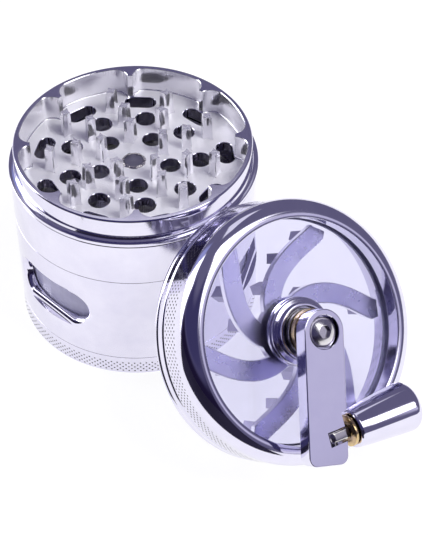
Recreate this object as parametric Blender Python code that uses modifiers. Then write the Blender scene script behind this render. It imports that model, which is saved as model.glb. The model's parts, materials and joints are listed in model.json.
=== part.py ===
"""A hand-crank stacking grinder of the 63 mm class, standing open.

The stack stands on its kief tray with its axis on +Z. From the table up it is the tray, a ring with
three side windows, a ring with a mesh screen, and the toothed grinding chamber. The lid leans beside
it with its crank hanging down and the knob folded flat beside the arm.

Frames: the stack is drawn in the world frame. Lid pieces are drawn in lid_frame, whose origin is the
centre of the bezel's top edge and whose +Z points out of the lid along the crank's shaft. Crank
pieces are drawn in crank_frame, turned about that axis, and knob pieces in knob_frame, whose origin
is on the fold pin and whose +Z runs along the knob.
"""

import math

import bmesh
import bpy
from mathutils import Matrix, Vector

MM = 0.001
ROUND = 48  # facets round a large turned piece
SMALL = 24  # facets round a small one
GAP = 0.3  # clearance between neighbouring pieces

# Driving dimensions of the stack, in millimetres
BODY_R = 31.5
FLANGE_R = 31.7
COLLAR_R = 30.2
SPIGOT_R = 29.6  # male thread of each stacked piece
SOCKET_R = 30.2  # female thread that takes it
INNER_R = 27.4
SPIGOT_LENGTH = 5.2
TRAY_TOP = 6.0
WINDOW_RING_TOP = 33.5
SIEVE_TOP = 45.7
RIM_TOP = 53.2
CHAMBER_FLOOR = 46.0
FLOOR_THICKNESS = 2.4
SKIRT_LENGTH = 5.4
FLANGE_TOP = 47.1
FLANGE_THICKNESS = 1.1
EDGE = 0.15  # usual broken edge
LEAD_IN = 0.4  # chamfer at the start of a thread

# Side windows: rounded slots through the ring, with a clear sleeve behind them
WINDOW_COUNT = 3
WINDOW_ANGLE = -138.5
WINDOW_LOW = 14.7
WINDOW_HIGH = 26.0
WINDOW_HALF_ANGLE = 24.5
SLEEVE_OUTER_R = 28.9
SLEEVE_INNER_R = 27.9

# Grinding chamber
POCKET_R = 28.9
CUSP_COUNT = 8
CUSP_FILLET = 3.4
CUSP_HALF_WIDTH = 0.6
TOOTH_TOP = 52.8
MAGNET_R = 2.5
HOLE_RINGS = (  # count, radius of the ring, angle of the first, length, width
    (5, 9.5, 58.0, 5.1, 5.1),
    (9, 16.9, 37.7, 5.4, 5.4),
    (9, 23.5, 3.9, 8.2, 4.2),
)
TOOTH_RINGS = ((5, 8.2, 22.0), (9, 14.4, 17.5), (9, 21.0, 23.9))  # count, radius, first angle

# Lid
LID_R = 32.1
LID_DEPTH = 15.73
BEZEL_INNER_R = 27.2
BEZEL_CURVE_R = 28.3
BEZEL_DROP = 4.0
GLASS_R = 28.3
GLASS_TOP = -4.0
GLASS_THICKNESS = 1.8
GLASS_BORE = 28.6
MOUTH_BORE = 30.5
MOUTH_STEP = -9.9
BUSH_END = -8.0
BUSH_NUT_R = 6.2
BUSH_NUT_BORE_R = 4.3
GROOVES = (-11.38, -14.27)
GROOVE_DEPTH = 0.35
GROOVE_HALF_WIDTH = 0.43

# How the lid leans: its axis climbs LID_AXIS_CLIMB degrees above the table
LID_AXIS_CLIMB = 39.25
LID_HEADING = -54.54
LID_BEARING = -52.75
LID_STAND_OFF = 0.12  # clear distance between the lid's upper edge and the flange

# Crank
CRANK_ANGLE = -24.8
ARM_HALF_WIDTH = 5.45
ARM_END = -31.3
ARM_CORNER_R = 2.2
ARM_BACK = 4.5
ARM_FRONT = 8.5
COUNTERBORE_R = 4.0
COUNTERBORE_DEPTH = 1.6
SHAFT_R = 1.95
SHAFT_END = -9.7
SHAFT_SQUARE_END = 6.6
SHAFT_BORE_R = 2.3
SHAFT_SQUARE = 2.7
ROTOR_ARMS = 6
ROTOR_TIP_R = 26.4
ROTOR_TIP_ANGLE = 44.0
ROTOR_TOP = -7.3
ROTOR_PLATE = 2.0
ROTOR_TOOTH_END = -16.0
ROTOR_TOOTH_HALF = 1.5  # half a tooth's width along the way it turns
ROTOR_ARM_HALF = 2.5
ROTOR_ARM_SWEEP = 70.0  # degrees that an arm curves round between its root and its tip
ROTOR_ROOT_R = 7.0
ROTOR_HUB_R = 8.4
ROTOR_BOSS_R = 5.9
ROTOR_BOSS_END = -11.0
NUT_RECESS_R = 6.6
NUT_RECESS_FLOOR = -8.3
ROTOR_TEETH = ((11.3, 2.3), (17.7, 2.5), (24.1, 2.2))  # radius, radial width

# Knob, folded flat against the side of the arm
PIN_X = 2.3
PIN_Y = -24.8
KNOB_TURN = 14.8  # from the arm's width towards its hub
PIN_R = 0.7
PIN_HOLE_R = 1.0
TAB_HALF_WIDTH = 1.45
TAB_HALF_HEIGHT = 1.7
STEM_R = 1.5
KNOB_START = 5.4
KNOB_END = 23.4
KNOB_BASE_R = 4.75
KNOB_TIP_R = 6.2


# ---------------------------------------------------------------- scene and helpers

for old in list(bpy.data.objects):
    bpy.data.objects.remove(old, do_unlink=True)

PARTS = bpy.data.collections.new("hand_crank_grinder")
CUTTERS = bpy.data.collections.new("cutters")
bpy.context.scene.collection.children.link(PARTS)
bpy.context.scene.collection.children.link(CUTTERS)


def material(name, colour, metallic, roughness, transmission=0.0):
    made = bpy.data.materials.new(name)
    made.use_nodes = True
    shader = made.node_tree.nodes["Principled BSDF"]
    shader.inputs["Base Color"].default_value = (*colour, 1.0)
    shader.inputs["Metallic"].default_value = metallic
    shader.inputs["Roughness"].default_value = roughness
    shader.inputs["Transmission Weight"].default_value = transmission
    return made


def place(obj, collection, parent=None):
    collection.objects.link(obj)
    if parent:
        obj.parent = parent
    if collection is CUTTERS:
        obj.hide_render = True
        obj.display_type = "WIRE"
    return obj


def frame(name, matrix, parent=None):
    """An empty that holds one of the frames in which pieces are drawn."""
    empty = bpy.data.objects.new(name, None)
    place(empty, PARTS, parent)
    empty.matrix_local = matrix
    return empty


def mesh_object(name, bm, collection=PARTS, parent=None):
    """A mesh object from a bmesh drawn in millimetres."""
    bmesh.ops.scale(bm, vec=(MM, MM, MM), verts=bm.verts)
    mesh = bpy.data.meshes.new(name)
    bm.to_mesh(mesh)
    bm.free()
    return place(bpy.data.objects.new(name, mesh), collection, parent)


def turned(name, profile, steps=ROUND, collection=PARTS, parent=None):
    """A turned piece: profile holds (radius, height) points, closed through the axis or on itself."""
    area = sum(
        a[0] * b[1] - b[0] * a[1] for a, b in zip(profile, profile[1:] + profile[:1])
    )
    points = profile if area < 0 else profile[::-1]
    on_axis = [i for i, (radius, _) in enumerate(points) if radius == 0]
    if on_axis:
        start = next(i for i in on_axis if (i - 1) % len(points) in on_axis)
        points = points[start:] + points[:start]
    bm = bmesh.new()
    verts = [bm.verts.new((radius, 0, height)) for radius, height in points]
    for a, b in zip(verts, verts[1:]):
        bm.edges.new((a, b))
    if not on_axis:
        bm.edges.new((verts[-1], verts[0]))
    obj = mesh_object(name, bm, collection, parent)
    screw = obj.modifiers.new("turn", "SCREW")
    screw.axis = "Z"
    screw.angle = math.tau
    screw.steps = steps
    screw.render_steps = steps
    screw.use_merge_vertices = True
    screw.merge_threshold = 1e-6
    return obj


def slab(name, outline, low, high, collection=PARTS, parent=None):
    """A flat piece with the given outline, from height low to height high."""
    curve = bpy.data.curves.new(name, "CURVE")
    curve.dimensions = "2D"
    curve.fill_mode = "BOTH"
    curve.extrude = (high - low) / 2 * MM
    spline = curve.splines.new("POLY")
    spline.points.add(len(outline) - 1)
    for point, (x, y) in zip(spline.points, outline):
        point.co = (x * MM, y * MM, 0, 1)
    spline.use_cyclic_u = True
    drawn = bpy.data.objects.new(name + "_outline", curve)
    bpy.context.scene.collection.objects.link(drawn)
    graph = bpy.context.evaluated_depsgraph_get()
    mesh = bpy.data.meshes.new_from_object(drawn.evaluated_get(graph))
    bpy.data.objects.remove(drawn)
    bm = bmesh.new()
    bm.from_mesh(mesh)
    bmesh.ops.remove_doubles(bm, verts=bm.verts, dist=1e-6)
    bmesh.ops.translate(bm, vec=(0, 0, (low + high) / 2 * MM), verts=bm.verts)
    bmesh.ops.recalc_face_normals(bm, faces=bm.faces)
    bm.to_mesh(mesh)
    bm.free()
    return place(bpy.data.objects.new(name, mesh), collection, parent)


def rod(bm, radius, low, high, matrix=Matrix(), steps=SMALL, top_radius=None):
    """Adds a round bar along the Z of matrix, from low to high."""
    bmesh.ops.create_cone(
        bm,
        cap_ends=True,
        segments=steps,
        radius1=radius,
        radius2=radius if top_radius is None else top_radius,
        depth=high - low,
        matrix=matrix @ Matrix.Translation((0, 0, (low + high) / 2)),
    )


def box(bm, low, high, matrix=Matrix()):
    """Adds a box between two corners."""
    low, high = Vector(low), Vector(high)
    size = Matrix.Diagonal((*(high - low), 1.0))
    bmesh.ops.create_cube(
        bm, size=1, matrix=matrix @ Matrix.Translation((low + high) / 2) @ size
    )


def boolean(obj, other, operation="DIFFERENCE"):
    modifier = obj.modifiers.new(other.name, "BOOLEAN")
    modifier.operation = operation
    modifier.object = other
    modifier.solver = "EXACT"


def bevel(obj, width, segments=2, angle=40):
    modifier = obj.modifiers.new("edges", "BEVEL")
    modifier.width = width * MM
    modifier.segments = segments
    modifier.limit_method = "ANGLE"
    modifier.angle_limit = math.radians(angle)


def finish(obj, finish_material):
    """Applies the modifiers, gives the piece its material, and shades round faces smooth."""
    bpy.context.view_layer.update()
    graph = bpy.context.evaluated_depsgraph_get()
    mesh = bpy.data.meshes.new_from_object(obj.evaluated_get(graph))
    obj.modifiers.clear()
    obj.data = mesh
    mesh.name = obj.name
    mesh.materials.clear()
    mesh.materials.append(finish_material)
    mesh.shade_smooth()
    mesh.set_sharp_from_angle(angle=math.radians(35))


def about_z(degrees):
    return Matrix.Rotation(math.radians(degrees), 4, "Z")


def on_circle(radius, degrees):
    turn = math.radians(degrees)
    return radius * math.cos(turn), radius * math.sin(turn)


def arc(centre, radius, start, end, steps):
    """Points of an arc from start to end degrees, both ends included."""
    return [
        (
            centre[0] + radius * math.cos(math.radians(start + (end - start) * i / steps)),
            centre[1] + radius * math.sin(math.radians(start + (end - start) * i / steps)),
        )
        for i in range(steps + 1)
    ]


def stadium(length, width, steps=8):
    """Outline of a slot along X with round ends."""
    half = (length - width) / 2
    return arc((half, 0), width / 2, -90, 90, steps) + arc((-half, 0), width / 2, 90, 270, steps)


# ---------------------------------------------------------------- frames


def lid_matrix():
    """Places the lid so that its lower edge touches the table and its upper edge is beside the flange."""
    climb = math.radians(LID_AXIS_CLIMB)
    heading = math.radians(LID_HEADING)
    out = Vector(
        (
            math.cos(climb) * math.cos(heading),
            math.cos(climb) * math.sin(heading),
            math.sin(climb),
        )
    )
    across = Vector((0, 0, 1)).cross(out).normalized()
    up = out.cross(across)
    reach = LID_R * math.sin(climb) * math.cos(math.radians(LID_BEARING - LID_HEADING))
    distance = FLANGE_R + LID_STAND_OFF + reach
    bearing = math.radians(LID_BEARING)
    mouth = Vector(
        (distance * math.cos(bearing), distance * math.sin(bearing), LID_R * math.cos(climb))
    )
    origin = mouth + out * LID_DEPTH
    turn = Matrix((across, up, out)).transposed().to_4x4()
    return Matrix.Translation(origin * MM) @ turn


LID_FRAME = frame("lid_frame", lid_matrix())
CRANK_FRAME = frame("crank_frame", about_z(CRANK_ANGLE), LID_FRAME)
ARM_MIDDLE = (ARM_BACK + ARM_FRONT) / 2
# X along the lid's axis, Y along the fold pin, Z along the knob
KNOB_AXES = about_z(KNOB_TURN) @ Matrix(((0, 0, 1, 0), (0, -1, 0, 0), (1, 0, 0, 0), (0, 0, 0, 1)))
KNOB_FRAME = frame(
    "knob_frame",
    Matrix.Translation(Vector((PIN_X, PIN_Y, ARM_MIDDLE)) * MM) @ KNOB_AXES,
    CRANK_FRAME,
)

POLISHED = material("polished_zinc", (0.80, 0.80, 0.86), 1.0, 0.12)
CAST = material("cast_zinc", (0.62, 0.61, 0.68), 1.0, 0.35)
STEEL = material("steel", (0.45, 0.44, 0.46), 1.0, 0.3)
BRASS = material("brass", (0.75, 0.55, 0.28), 1.0, 0.25)
CLEAR = material("clear_plastic", (0.92, 0.92, 1.0), 0.0, 0.05, 1.0)
DARK = material("dark_magnet", (0.12, 0.12, 0.15), 1.0, 0.4)
MESH = material("steel_mesh", (0.40, 0.38, 0.40), 1.0, 0.4)
GASKET = material("gasket", (0.05, 0.05, 0.07), 0.0, 0.5)


# ---------------------------------------------------------------- the stack


def make_kief_tray():
    spigot_top = TRAY_TOP + SPIGOT_LENGTH - 2 * GAP
    profile = [
        (0, 1.6),
        (26.2, 1.6),
        (27.0, 1.9),
        (INNER_R, 2.8),
        (INNER_R, spigot_top),
        (SPIGOT_R - LEAD_IN, spigot_top),
        (SPIGOT_R, spigot_top - LEAD_IN),
        (SPIGOT_R, TRAY_TOP),
        (BODY_R, TRAY_TOP),
        (BODY_R, 0.5),
        (BODY_R - 0.5, 0),
        (0, 0),
    ]
    finish(turned("kief_tray", profile), POLISHED)


def make_window_ring():
    low = TRAY_TOP + GAP
    lower_ledge = low + SPIGOT_LENGTH - GAP
    upper_ledge = WINDOW_RING_TOP - SPIGOT_LENGTH - 2 * GAP
    profile = [
        (SOCKET_R, WINDOW_RING_TOP),
        (BODY_R - EDGE, WINDOW_RING_TOP),
        (BODY_R, WINDOW_RING_TOP - EDGE),
        (BODY_R, low + EDGE),
        (BODY_R - EDGE, low),
        (SOCKET_R, low),
        (SOCKET_R, lower_ledge),
        (SLEEVE_OUTER_R + GAP, lower_ledge),
        (SLEEVE_OUTER_R + GAP, upper_ledge),
        (SOCKET_R, upper_ledge),
    ]
    ring = turned("window_ring", profile)
    height = WINDOW_HIGH - WINDOW_LOW
    length = 2 * BODY_R * math.sin(math.radians(WINDOW_HALF_ANGLE))
    # The slot's outline stands upright: X across the window, Z up
    upright = Matrix.Rotation(math.radians(90), 4, "X")
    for index in range(WINDOW_COUNT):
        angle = WINDOW_ANGLE + index * 360 / WINDOW_COUNT
        slot = slab(
            f"window_slot_{index + 1}", stadium(length, height), 22.0, 36.0, CUTTERS
        )
        height_shift = Matrix.Translation((0, 0, (WINDOW_LOW + WINDOW_HIGH) / 2 * MM))
        slot.matrix_world = about_z(angle + 90) @ height_shift @ upright
        boolean(ring, slot)
    finish(ring, POLISHED)


def make_window_sleeve():
    low = TRAY_TOP + SPIGOT_LENGTH + 2 * GAP
    high = WINDOW_RING_TOP - SPIGOT_LENGTH - 3 * GAP
    profile = [
        (SLEEVE_INNER_R, high),
        (SLEEVE_OUTER_R, high),
        (SLEEVE_OUTER_R, low),
        (SLEEVE_INNER_R, low),
    ]
    finish(turned("window_sleeve", profile), CLEAR)


SCREEN_LEDGE = WINDOW_RING_TOP + GAP - SPIGOT_LENGTH - GAP + 0.8
SCREEN_R = INNER_R - GAP
SCREEN_OPENING_R = 25.8


def make_sieve_ring():
    shoulder = WINDOW_RING_TOP + GAP
    low = shoulder - SPIGOT_LENGTH - GAP
    ledge = SIEVE_TOP - SPIGOT_LENGTH - GAP
    profile = [
        (SOCKET_R, SIEVE_TOP),
        (BODY_R - EDGE, SIEVE_TOP),
        (BODY_R, SIEVE_TOP - EDGE),
        (BODY_R, shoulder + EDGE),
        (BODY_R - EDGE, shoulder),
        (SPIGOT_R, shoulder),
        (SPIGOT_R, low + LEAD_IN),
        (SPIGOT_R - LEAD_IN, low),
        (SCREEN_OPENING_R, low),
        (SCREEN_OPENING_R, SCREEN_LEDGE),
        (INNER_R, SCREEN_LEDGE),
        (INNER_R, ledge),
        (SOCKET_R, ledge),
    ]
    finish(turned("sieve_ring", profile), POLISHED)


def make_mesh_screen():
    low = SCREEN_LEDGE + GAP
    profile = [(0, low + 0.4), (SCREEN_R, low + 0.4), (SCREEN_R, low), (0, low)]
    finish(turned("mesh_screen", profile), MESH)


def make_screen_ring():
    """The split ring that holds the mesh down on its ledge."""
    low = SCREEN_LEDGE + 0.4 + 2 * GAP
    high = low + 1.3
    profile = [
        (SCREEN_OPENING_R, high),
        (SCREEN_R, high),
        (SCREEN_R, low),
        (SCREEN_OPENING_R, low),
    ]
    ring = turned("screen_ring", profile)
    bm = bmesh.new()
    box(bm, (20, -1.2, low - 1), (30, 1.2, high + 1), about_z(75))
    boolean(ring, mesh_object("screen_ring_split", bm, CUTTERS))
    finish(ring, STEEL)


def scallop_outline():
    """The chamber's inside wall: round pockets that meet in narrow cusps."""
    side = CUSP_HALF_WIDTH + CUSP_FILLET
    inward = POCKET_R - CUSP_FILLET
    centre = (math.sqrt(inward**2 - side**2), side)
    edge_angle = math.degrees(math.atan2(centre[1], centre[0]))
    half = arc(centre, CUSP_FILLET, -80, edge_angle, 6)
    pocket = 360 / CUSP_COUNT
    outline = []
    for index in range(CUSP_COUNT):
        turn = about_z(index * pocket)
        cusp = [(x, -y) for x, y in reversed(half)] + half
        outline += [(turn @ Vector((x, y, 0))).xy[:] for x, y in cusp]
        first = index * pocket + edge_angle
        outline += arc((0, 0), POCKET_R, first, first + pocket - 2 * edge_angle, 5)[1:-1]
    return outline


def tooth_bars():
    bm = bmesh.new()
    for count, radius, first in TOOTH_RINGS:
        for index in range(count):
            x, y = on_circle(radius, first + index * 360 / count)
            turn = about_z(first + index * 360 / count + 20)
            skew = Matrix.Translation((x, y, 0)) @ turn @ Matrix.Diagonal((0.75, 1, 1, 1))
            rod(bm, 2.1, CHAMBER_FLOOR - 0.6, TOOTH_TOP, skew, 4, 1.75)
    return mesh_object("tooth_bars", bm, CUTTERS)


def make_grinding_chamber():
    flange_low = FLANGE_TOP - FLANGE_THICKNESS
    skirt_low = flange_low - SKIRT_LENGTH
    under_floor = CHAMBER_FLOOR - FLOOR_THICKNESS
    profile = [
        (0, RIM_TOP),
        (COLLAR_R - 0.3, RIM_TOP),
        (COLLAR_R, RIM_TOP - 0.3),
        (COLLAR_R, FLANGE_TOP + 0.9),
        (COLLAR_R + 0.25, FLANGE_TOP + 0.3),
        (COLLAR_R + 0.8, FLANGE_TOP + 0.05),
        (FLANGE_R - 0.2, FLANGE_TOP),
        (FLANGE_R, FLANGE_TOP - 0.2),
        (FLANGE_R, flange_low + 0.2),
        (FLANGE_R - 0.2, flange_low),
        (SPIGOT_R, flange_low),
        (SPIGOT_R, skirt_low + LEAD_IN),
        (SPIGOT_R - LEAD_IN, skirt_low),
        (INNER_R, skirt_low),
        (INNER_R, under_floor),
        (0, under_floor),
    ]
    chamber = turned("grinding_chamber", profile)
    cavity = slab(
        "chamber_cavity", scallop_outline(), CHAMBER_FLOOR, RIM_TOP + 2, CUTTERS
    )
    boolean(chamber, cavity)
    boolean(chamber, tooth_bars(), "UNION")
    low, high = under_floor - 1, CHAMBER_FLOOR + 0.2
    for ring, (count, radius, first, length, width) in enumerate(HOLE_RINGS):
        outline = stadium(length, width) if length > width else arc((0, 0), width / 2, 0, 342, 19)
        bm = bmesh.new()
        for index in range(count):
            hole = slab(f"hole_{ring}_{index}", outline, low, high, CUTTERS)
            angle = first + index * 360 / count
            x, y = on_circle(radius, angle)
            hole.data.transform(Matrix.Translation((x * MM, y * MM, 0)) @ about_z(angle + 90))
            bm.from_mesh(hole.data)
            bpy.data.objects.remove(hole)
        bmesh.ops.scale(bm, vec=(1 / MM,) * 3, verts=bm.verts)
        boolean(chamber, mesh_object(f"hole_ring_{ring + 1}", bm, CUTTERS))
    bm = bmesh.new()
    rod(bm, MAGNET_R + GAP, CHAMBER_FLOOR - 2.0, CHAMBER_FLOOR + 1)
    boolean(chamber, mesh_object("magnet_pocket", bm, CUTTERS))
    finish(chamber, CAST)


def make_chamber_magnet():
    bm = bmesh.new()
    rod(bm, MAGNET_R, CHAMBER_FLOOR - 1.7, CHAMBER_FLOOR + 0.2)
    finish(mesh_object("chamber_magnet", bm), DARK)


# ---------------------------------------------------------------- the lid


def make_lid_shell():
    bezel = [
        (r, z)
        for r, z in (
            (
                BEZEL_CURVE_R + (LID_R - BEZEL_CURVE_R) * math.sin(math.radians(a)),
                -BEZEL_DROP * (1 - math.cos(math.radians(a))),
            )
            for a in (0, 18, 36, 54, 72, 90)
        )
    ]
    sides = []
    for z in GROOVES:
        sides += [
            (LID_R, z + GROOVE_HALF_WIDTH),
            (LID_R - GROOVE_DEPTH, z),
            (LID_R, z - GROOVE_HALF_WIDTH),
        ]
    profile = (
        [(BEZEL_INNER_R + 0.25, 0)]
        + bezel
        + sides
        + [
            (LID_R, -LID_DEPTH + 0.3),
            (LID_R - 0.3, -LID_DEPTH),
            (MOUTH_BORE + 0.3, -LID_DEPTH),
            (MOUTH_BORE, -LID_DEPTH + 0.3),
            (MOUTH_BORE, MOUTH_STEP),
            (GLASS_BORE, MOUTH_STEP),
            (GLASS_BORE, GLASS_TOP + GAP),
            (BEZEL_INNER_R, GLASS_TOP + GAP),
            (BEZEL_INNER_R, -0.25),
        ]
    )
    finish(turned("lid_shell", profile, parent=LID_FRAME), POLISHED)


def washer(name, outer, inner, low, high, parent, finish_material, steps=SMALL, edge=0.15):
    profile = [
        (inner, high),
        (outer - edge, high),
        (outer, high - edge),
        (outer, low + edge),
        (outer - edge, low),
        (inner, low),
    ]
    finish(turned(name, profile, steps, parent=parent), finish_material)


def make_lid_window():
    low = GLASS_TOP - GLASS_THICKNESS
    washer("lid_window", GLASS_R, BUSH_NUT_BORE_R, low, GLASS_TOP, LID_FRAME, CLEAR, ROUND)
    top = low - GAP
    washer("window_retainer", GLASS_R, 27.0, top - 1.0, top, LID_FRAME, GASKET, ROUND)


def make_hub_bush():
    seat = GLASS_TOP + GAP
    profile = [
        (6.15, 0.5),
        (6.85, 0.5),
        (6.95, -1.1),
        (7.9, -1.15),
        (8.25, -1.4),
        (8.25, -1.85),
        (7.75, -2.1),
        (7.75, -2.45),
        (8.35, -2.65),
        (8.35, seat),
        (4.0, seat),
        (4.0, BUSH_END),
        (SHAFT_BORE_R, BUSH_END),
        (SHAFT_BORE_R, -0.3),
        (6.05, -0.3),
    ]
    finish(turned("hub_bush", profile, 32, parent=LID_FRAME), POLISHED)


def make_bush_nut():
    """A thin round nut with two spanner slots, behind the window."""
    top = GLASS_TOP - GLASS_THICKNESS - GAP
    profile = [
        (BUSH_NUT_BORE_R, top),
        (BUSH_NUT_R, top),
        (BUSH_NUT_R, BUSH_END),
        (BUSH_NUT_BORE_R, BUSH_END),
    ]
    nut = turned("bush_nut", profile, 32, parent=LID_FRAME)
    bm = bmesh.new()
    box(bm, (-8, -0.7, BUSH_END - 1), (8, 0.7, BUSH_END + 0.8))
    boolean(nut, mesh_object("spanner_slots", bm, CUTTERS, LID_FRAME))
    finish(nut, STEEL)


# ---------------------------------------------------------------- crank, shaft and rotor


def make_shaft():
    bm = bmesh.new()
    rod(bm, SHAFT_R, SHAFT_END, ARM_BACK - GAP)
    shaft = mesh_object("shaft", bm, parent=CRANK_FRAME)
    bm = bmesh.new()
    half = SHAFT_SQUARE / 2
    box(bm, (-half, -half, ARM_BACK - 2), (half, half, SHAFT_SQUARE_END))
    boolean(shaft, mesh_object("shaft_square", bm, CUTTERS, CRANK_FRAME), "UNION")
    bm = bmesh.new()
    rod(bm, 1.2 - GAP / 2, -1.0, 8.0, steps=12)
    boolean(shaft, mesh_object("shaft_thread", bm, CUTTERS, CRANK_FRAME))
    finish(shaft, STEEL)


def make_crank_washers():
    washer("steel_washer", 5.75, SHAFT_BORE_R, 0.0, 2.0, CRANK_FRAME, STEEL, 32)
    washer("brass_washer", 5.6, SHAFT_BORE_R, 2.4, 4.15, CRANK_FRAME, BRASS, 32, 0.3)


def rotor_star():
    """Outline of the six curved arms, joined inside the hub."""
    def centre_angle(radius):
        share = (ROTOR_TIP_R - radius) / (ROTOR_TIP_R - 5)
        return ROTOR_ARM_SWEEP * max(share, 0) ** 1.5

    def edge(radius, side):
        step = 0.05
        here = Vector(on_circle(radius, centre_angle(radius)))
        ahead = Vector(on_circle(radius + step, centre_angle(radius + step)))
        along = (ahead - here).normalized()
        across = Vector((-along.y, along.x))
        return here + across * side * ROTOR_ARM_HALF

    reach = ROTOR_TIP_R - 0.9
    radii = [ROTOR_ROOT_R + (reach - ROTOR_ROOT_R) * i / 7 for i in range(8)]
    outline = []
    for index in range(ROTOR_ARMS):
        turn = Matrix.Rotation(
            math.radians(ROTOR_TIP_ANGLE + index * 360 / ROTOR_ARMS), 2
        )
        one = [edge(radius, -1) for radius in radii]
        one += [Vector(on_circle(ROTOR_TIP_R, a)) for a in (-3, 2)]
        one += [edge(radius, 1) for radius in reversed(radii)]
        outline += [(turn @ point)[:] for point in one]
    return outline, centre_angle


def make_rotor():
    """Cast in one piece: the hub, six scimitar arms, and three blunt teeth under each arm."""
    under = ROTOR_TOP - ROTOR_PLATE
    profile = [
        (NUT_RECESS_R, ROTOR_TOP),
        (ROTOR_HUB_R, ROTOR_TOP),
        (ROTOR_HUB_R, under),
        (ROTOR_BOSS_R, under),
        (ROTOR_BOSS_R, ROTOR_BOSS_END),
        (MAGNET_R + GAP, ROTOR_BOSS_END),
        (MAGNET_R + GAP, SHAFT_END - 0.2),
        (SHAFT_R + GAP, SHAFT_END - 0.2),
        (SHAFT_R + GAP, NUT_RECESS_FLOOR),
        (NUT_RECESS_R, NUT_RECESS_FLOOR),
    ]
    rotor = turned("rotor", profile, 32, parent=CRANK_FRAME)
    undo = about_z(-CRANK_ANGLE)
    outline, centre_angle = rotor_star()
    star = slab("rotor_star", outline, under + 0.02, ROTOR_TOP - 0.02, CUTTERS, CRANK_FRAME)
    star.data.transform(undo)
    bm = bmesh.new()
    rod(bm, (NUT_RECESS_R + ROTOR_HUB_R) / 2, under - 1, ROTOR_TOP + 1)
    boolean(star, mesh_object("rotor_star_middle", bm, CUTTERS, CRANK_FRAME))
    boolean(rotor, star, "UNION")
    bm = bmesh.new()
    for index in range(ROTOR_ARMS):
        for radius, width in ROTOR_TEETH:
            angle = ROTOR_TIP_ANGLE + index * 360 / ROTOR_ARMS + centre_angle(radius)
            tooth = undo @ about_z(angle) @ Matrix.Translation((radius, 0, 0))
            low = (-width / 2, -ROTOR_TOOTH_HALF, ROTOR_TOOTH_END)
            box(bm, low, (width / 2, ROTOR_TOOTH_HALF, under + 0.5), tooth)
    boolean(rotor, mesh_object("rotor_teeth", bm, CUTTERS, CRANK_FRAME), "UNION")
    finish(rotor, CAST)


def make_rotor_magnet():
    bm = bmesh.new()
    rod(bm, MAGNET_R, ROTOR_BOSS_END - 0.1, SHAFT_END - 0.5)
    finish(mesh_object("rotor_magnet", bm, parent=CRANK_FRAME), DARK)


def knob_cutter(name, bm):
    return mesh_object(name, bm, CUTTERS, KNOB_FRAME)


def make_crank_arm():
    """A flat bar with a round hub end; a slot and a notch at the other end take the folding knob."""
    right = ARM_HALF_WIDTH - ARM_CORNER_R
    foot = ARM_END + ARM_CORNER_R
    outline = arc((0, 0), ARM_HALF_WIDTH, 0, 180, 20)
    outline += arc((-right, foot), ARM_CORNER_R, 180, 270, 4)
    outline += arc((right, foot), ARM_CORNER_R, 270, 360, 4)
    arm = slab("crank_arm", outline, ARM_BACK, ARM_FRONT, parent=CRANK_FRAME)
    bevel(arm, 0.3, 1, 60)
    bm = bmesh.new()
    rod(bm, COUNTERBORE_R, ARM_FRONT - COUNTERBORE_DEPTH, ARM_FRONT + 2, steps=32)
    boolean(arm, mesh_object("screw_counterbore", bm, CUTTERS, CRANK_FRAME))
    bm = bmesh.new()
    half = SHAFT_SQUARE / 2 + GAP
    box(bm, (-half, -half, ARM_BACK - 1), (half, half, ARM_FRONT))
    boolean(arm, mesh_object("square_hole", bm, CUTTERS, CRANK_FRAME))
    bm = bmesh.new()
    box(bm, (-4, -1.8, -TAB_HALF_HEIGHT - 0.4), (4, 1.8, 6))
    boolean(arm, knob_cutter("tab_slot", bm))
    bm = bmesh.new()
    box(bm, (-4, -5.2, 2.9), (4, 7.5, 14))
    boolean(arm, knob_cutter("knob_notch", bm))
    bm = bmesh.new()
    rod(bm, PIN_HOLE_R, -4.2, 9, Matrix.Rotation(math.radians(-90), 4, "X"), 16)
    boolean(arm, knob_cutter("pin_hole", bm))
    finish(arm, POLISHED)


def make_crank_screw():
    """A button-head screw with a hexagon socket."""
    seat = ARM_FRONT - COUNTERBORE_DEPTH + GAP
    profile = [
        (0, 8.95),
        (1.5, 8.85),
        (2.7, 8.45),
        (3.4, 7.85),
        (3.6, seat + 0.2),
        (3.5, seat),
        (0.75, seat),
        (0.75, 0.0),
        (0, 0.0),
    ]
    screw = turned("crank_screw", profile, parent=CRANK_FRAME, steps=SMALL)
    bm = bmesh.new()
    rod(bm, 1.45, 7.7, 10, steps=6)
    boolean(screw, mesh_object("hex_socket", bm, CUTTERS, CRANK_FRAME))
    finish(screw, STEEL)


# ---------------------------------------------------------------- folding knob


def make_knob_stud():
    """A flat tab that turns on the fold pin, and the stem on which the knob spins."""
    along_pin = Matrix.Rotation(math.radians(-90), 4, "X")
    bm = bmesh.new()
    rod(bm, TAB_HALF_HEIGHT, -TAB_HALF_WIDTH, TAB_HALF_WIDTH, along_pin)
    stud = mesh_object("knob_stud", bm, parent=KNOB_FRAME)
    bm = bmesh.new()
    low = (-TAB_HALF_HEIGHT + 0.001, -TAB_HALF_WIDTH + 0.001, 0.1)
    box(bm, low, (TAB_HALF_HEIGHT - 0.001, TAB_HALF_WIDTH - 0.001, 3.9))
    boolean(stud, knob_cutter("tab_block", bm), "UNION")
    bm = bmesh.new()
    rod(bm, STEM_R - 0.1, 3.0, 18.5)
    boolean(stud, knob_cutter("stem", bm), "UNION")
    bm = bmesh.new()
    rod(bm, PIN_HOLE_R, -4, 4, along_pin, 16)
    boolean(stud, knob_cutter("tab_hole", bm))
    finish(stud, STEEL)


def make_fold_pin():
    bm = bmesh.new()
    rod(bm, PIN_R, -3.8, 6.0, Matrix.Rotation(math.radians(-90), 4, "X"), 16)
    finish(mesh_object("fold_pin", bm, parent=KNOB_FRAME), STEEL)


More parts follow.
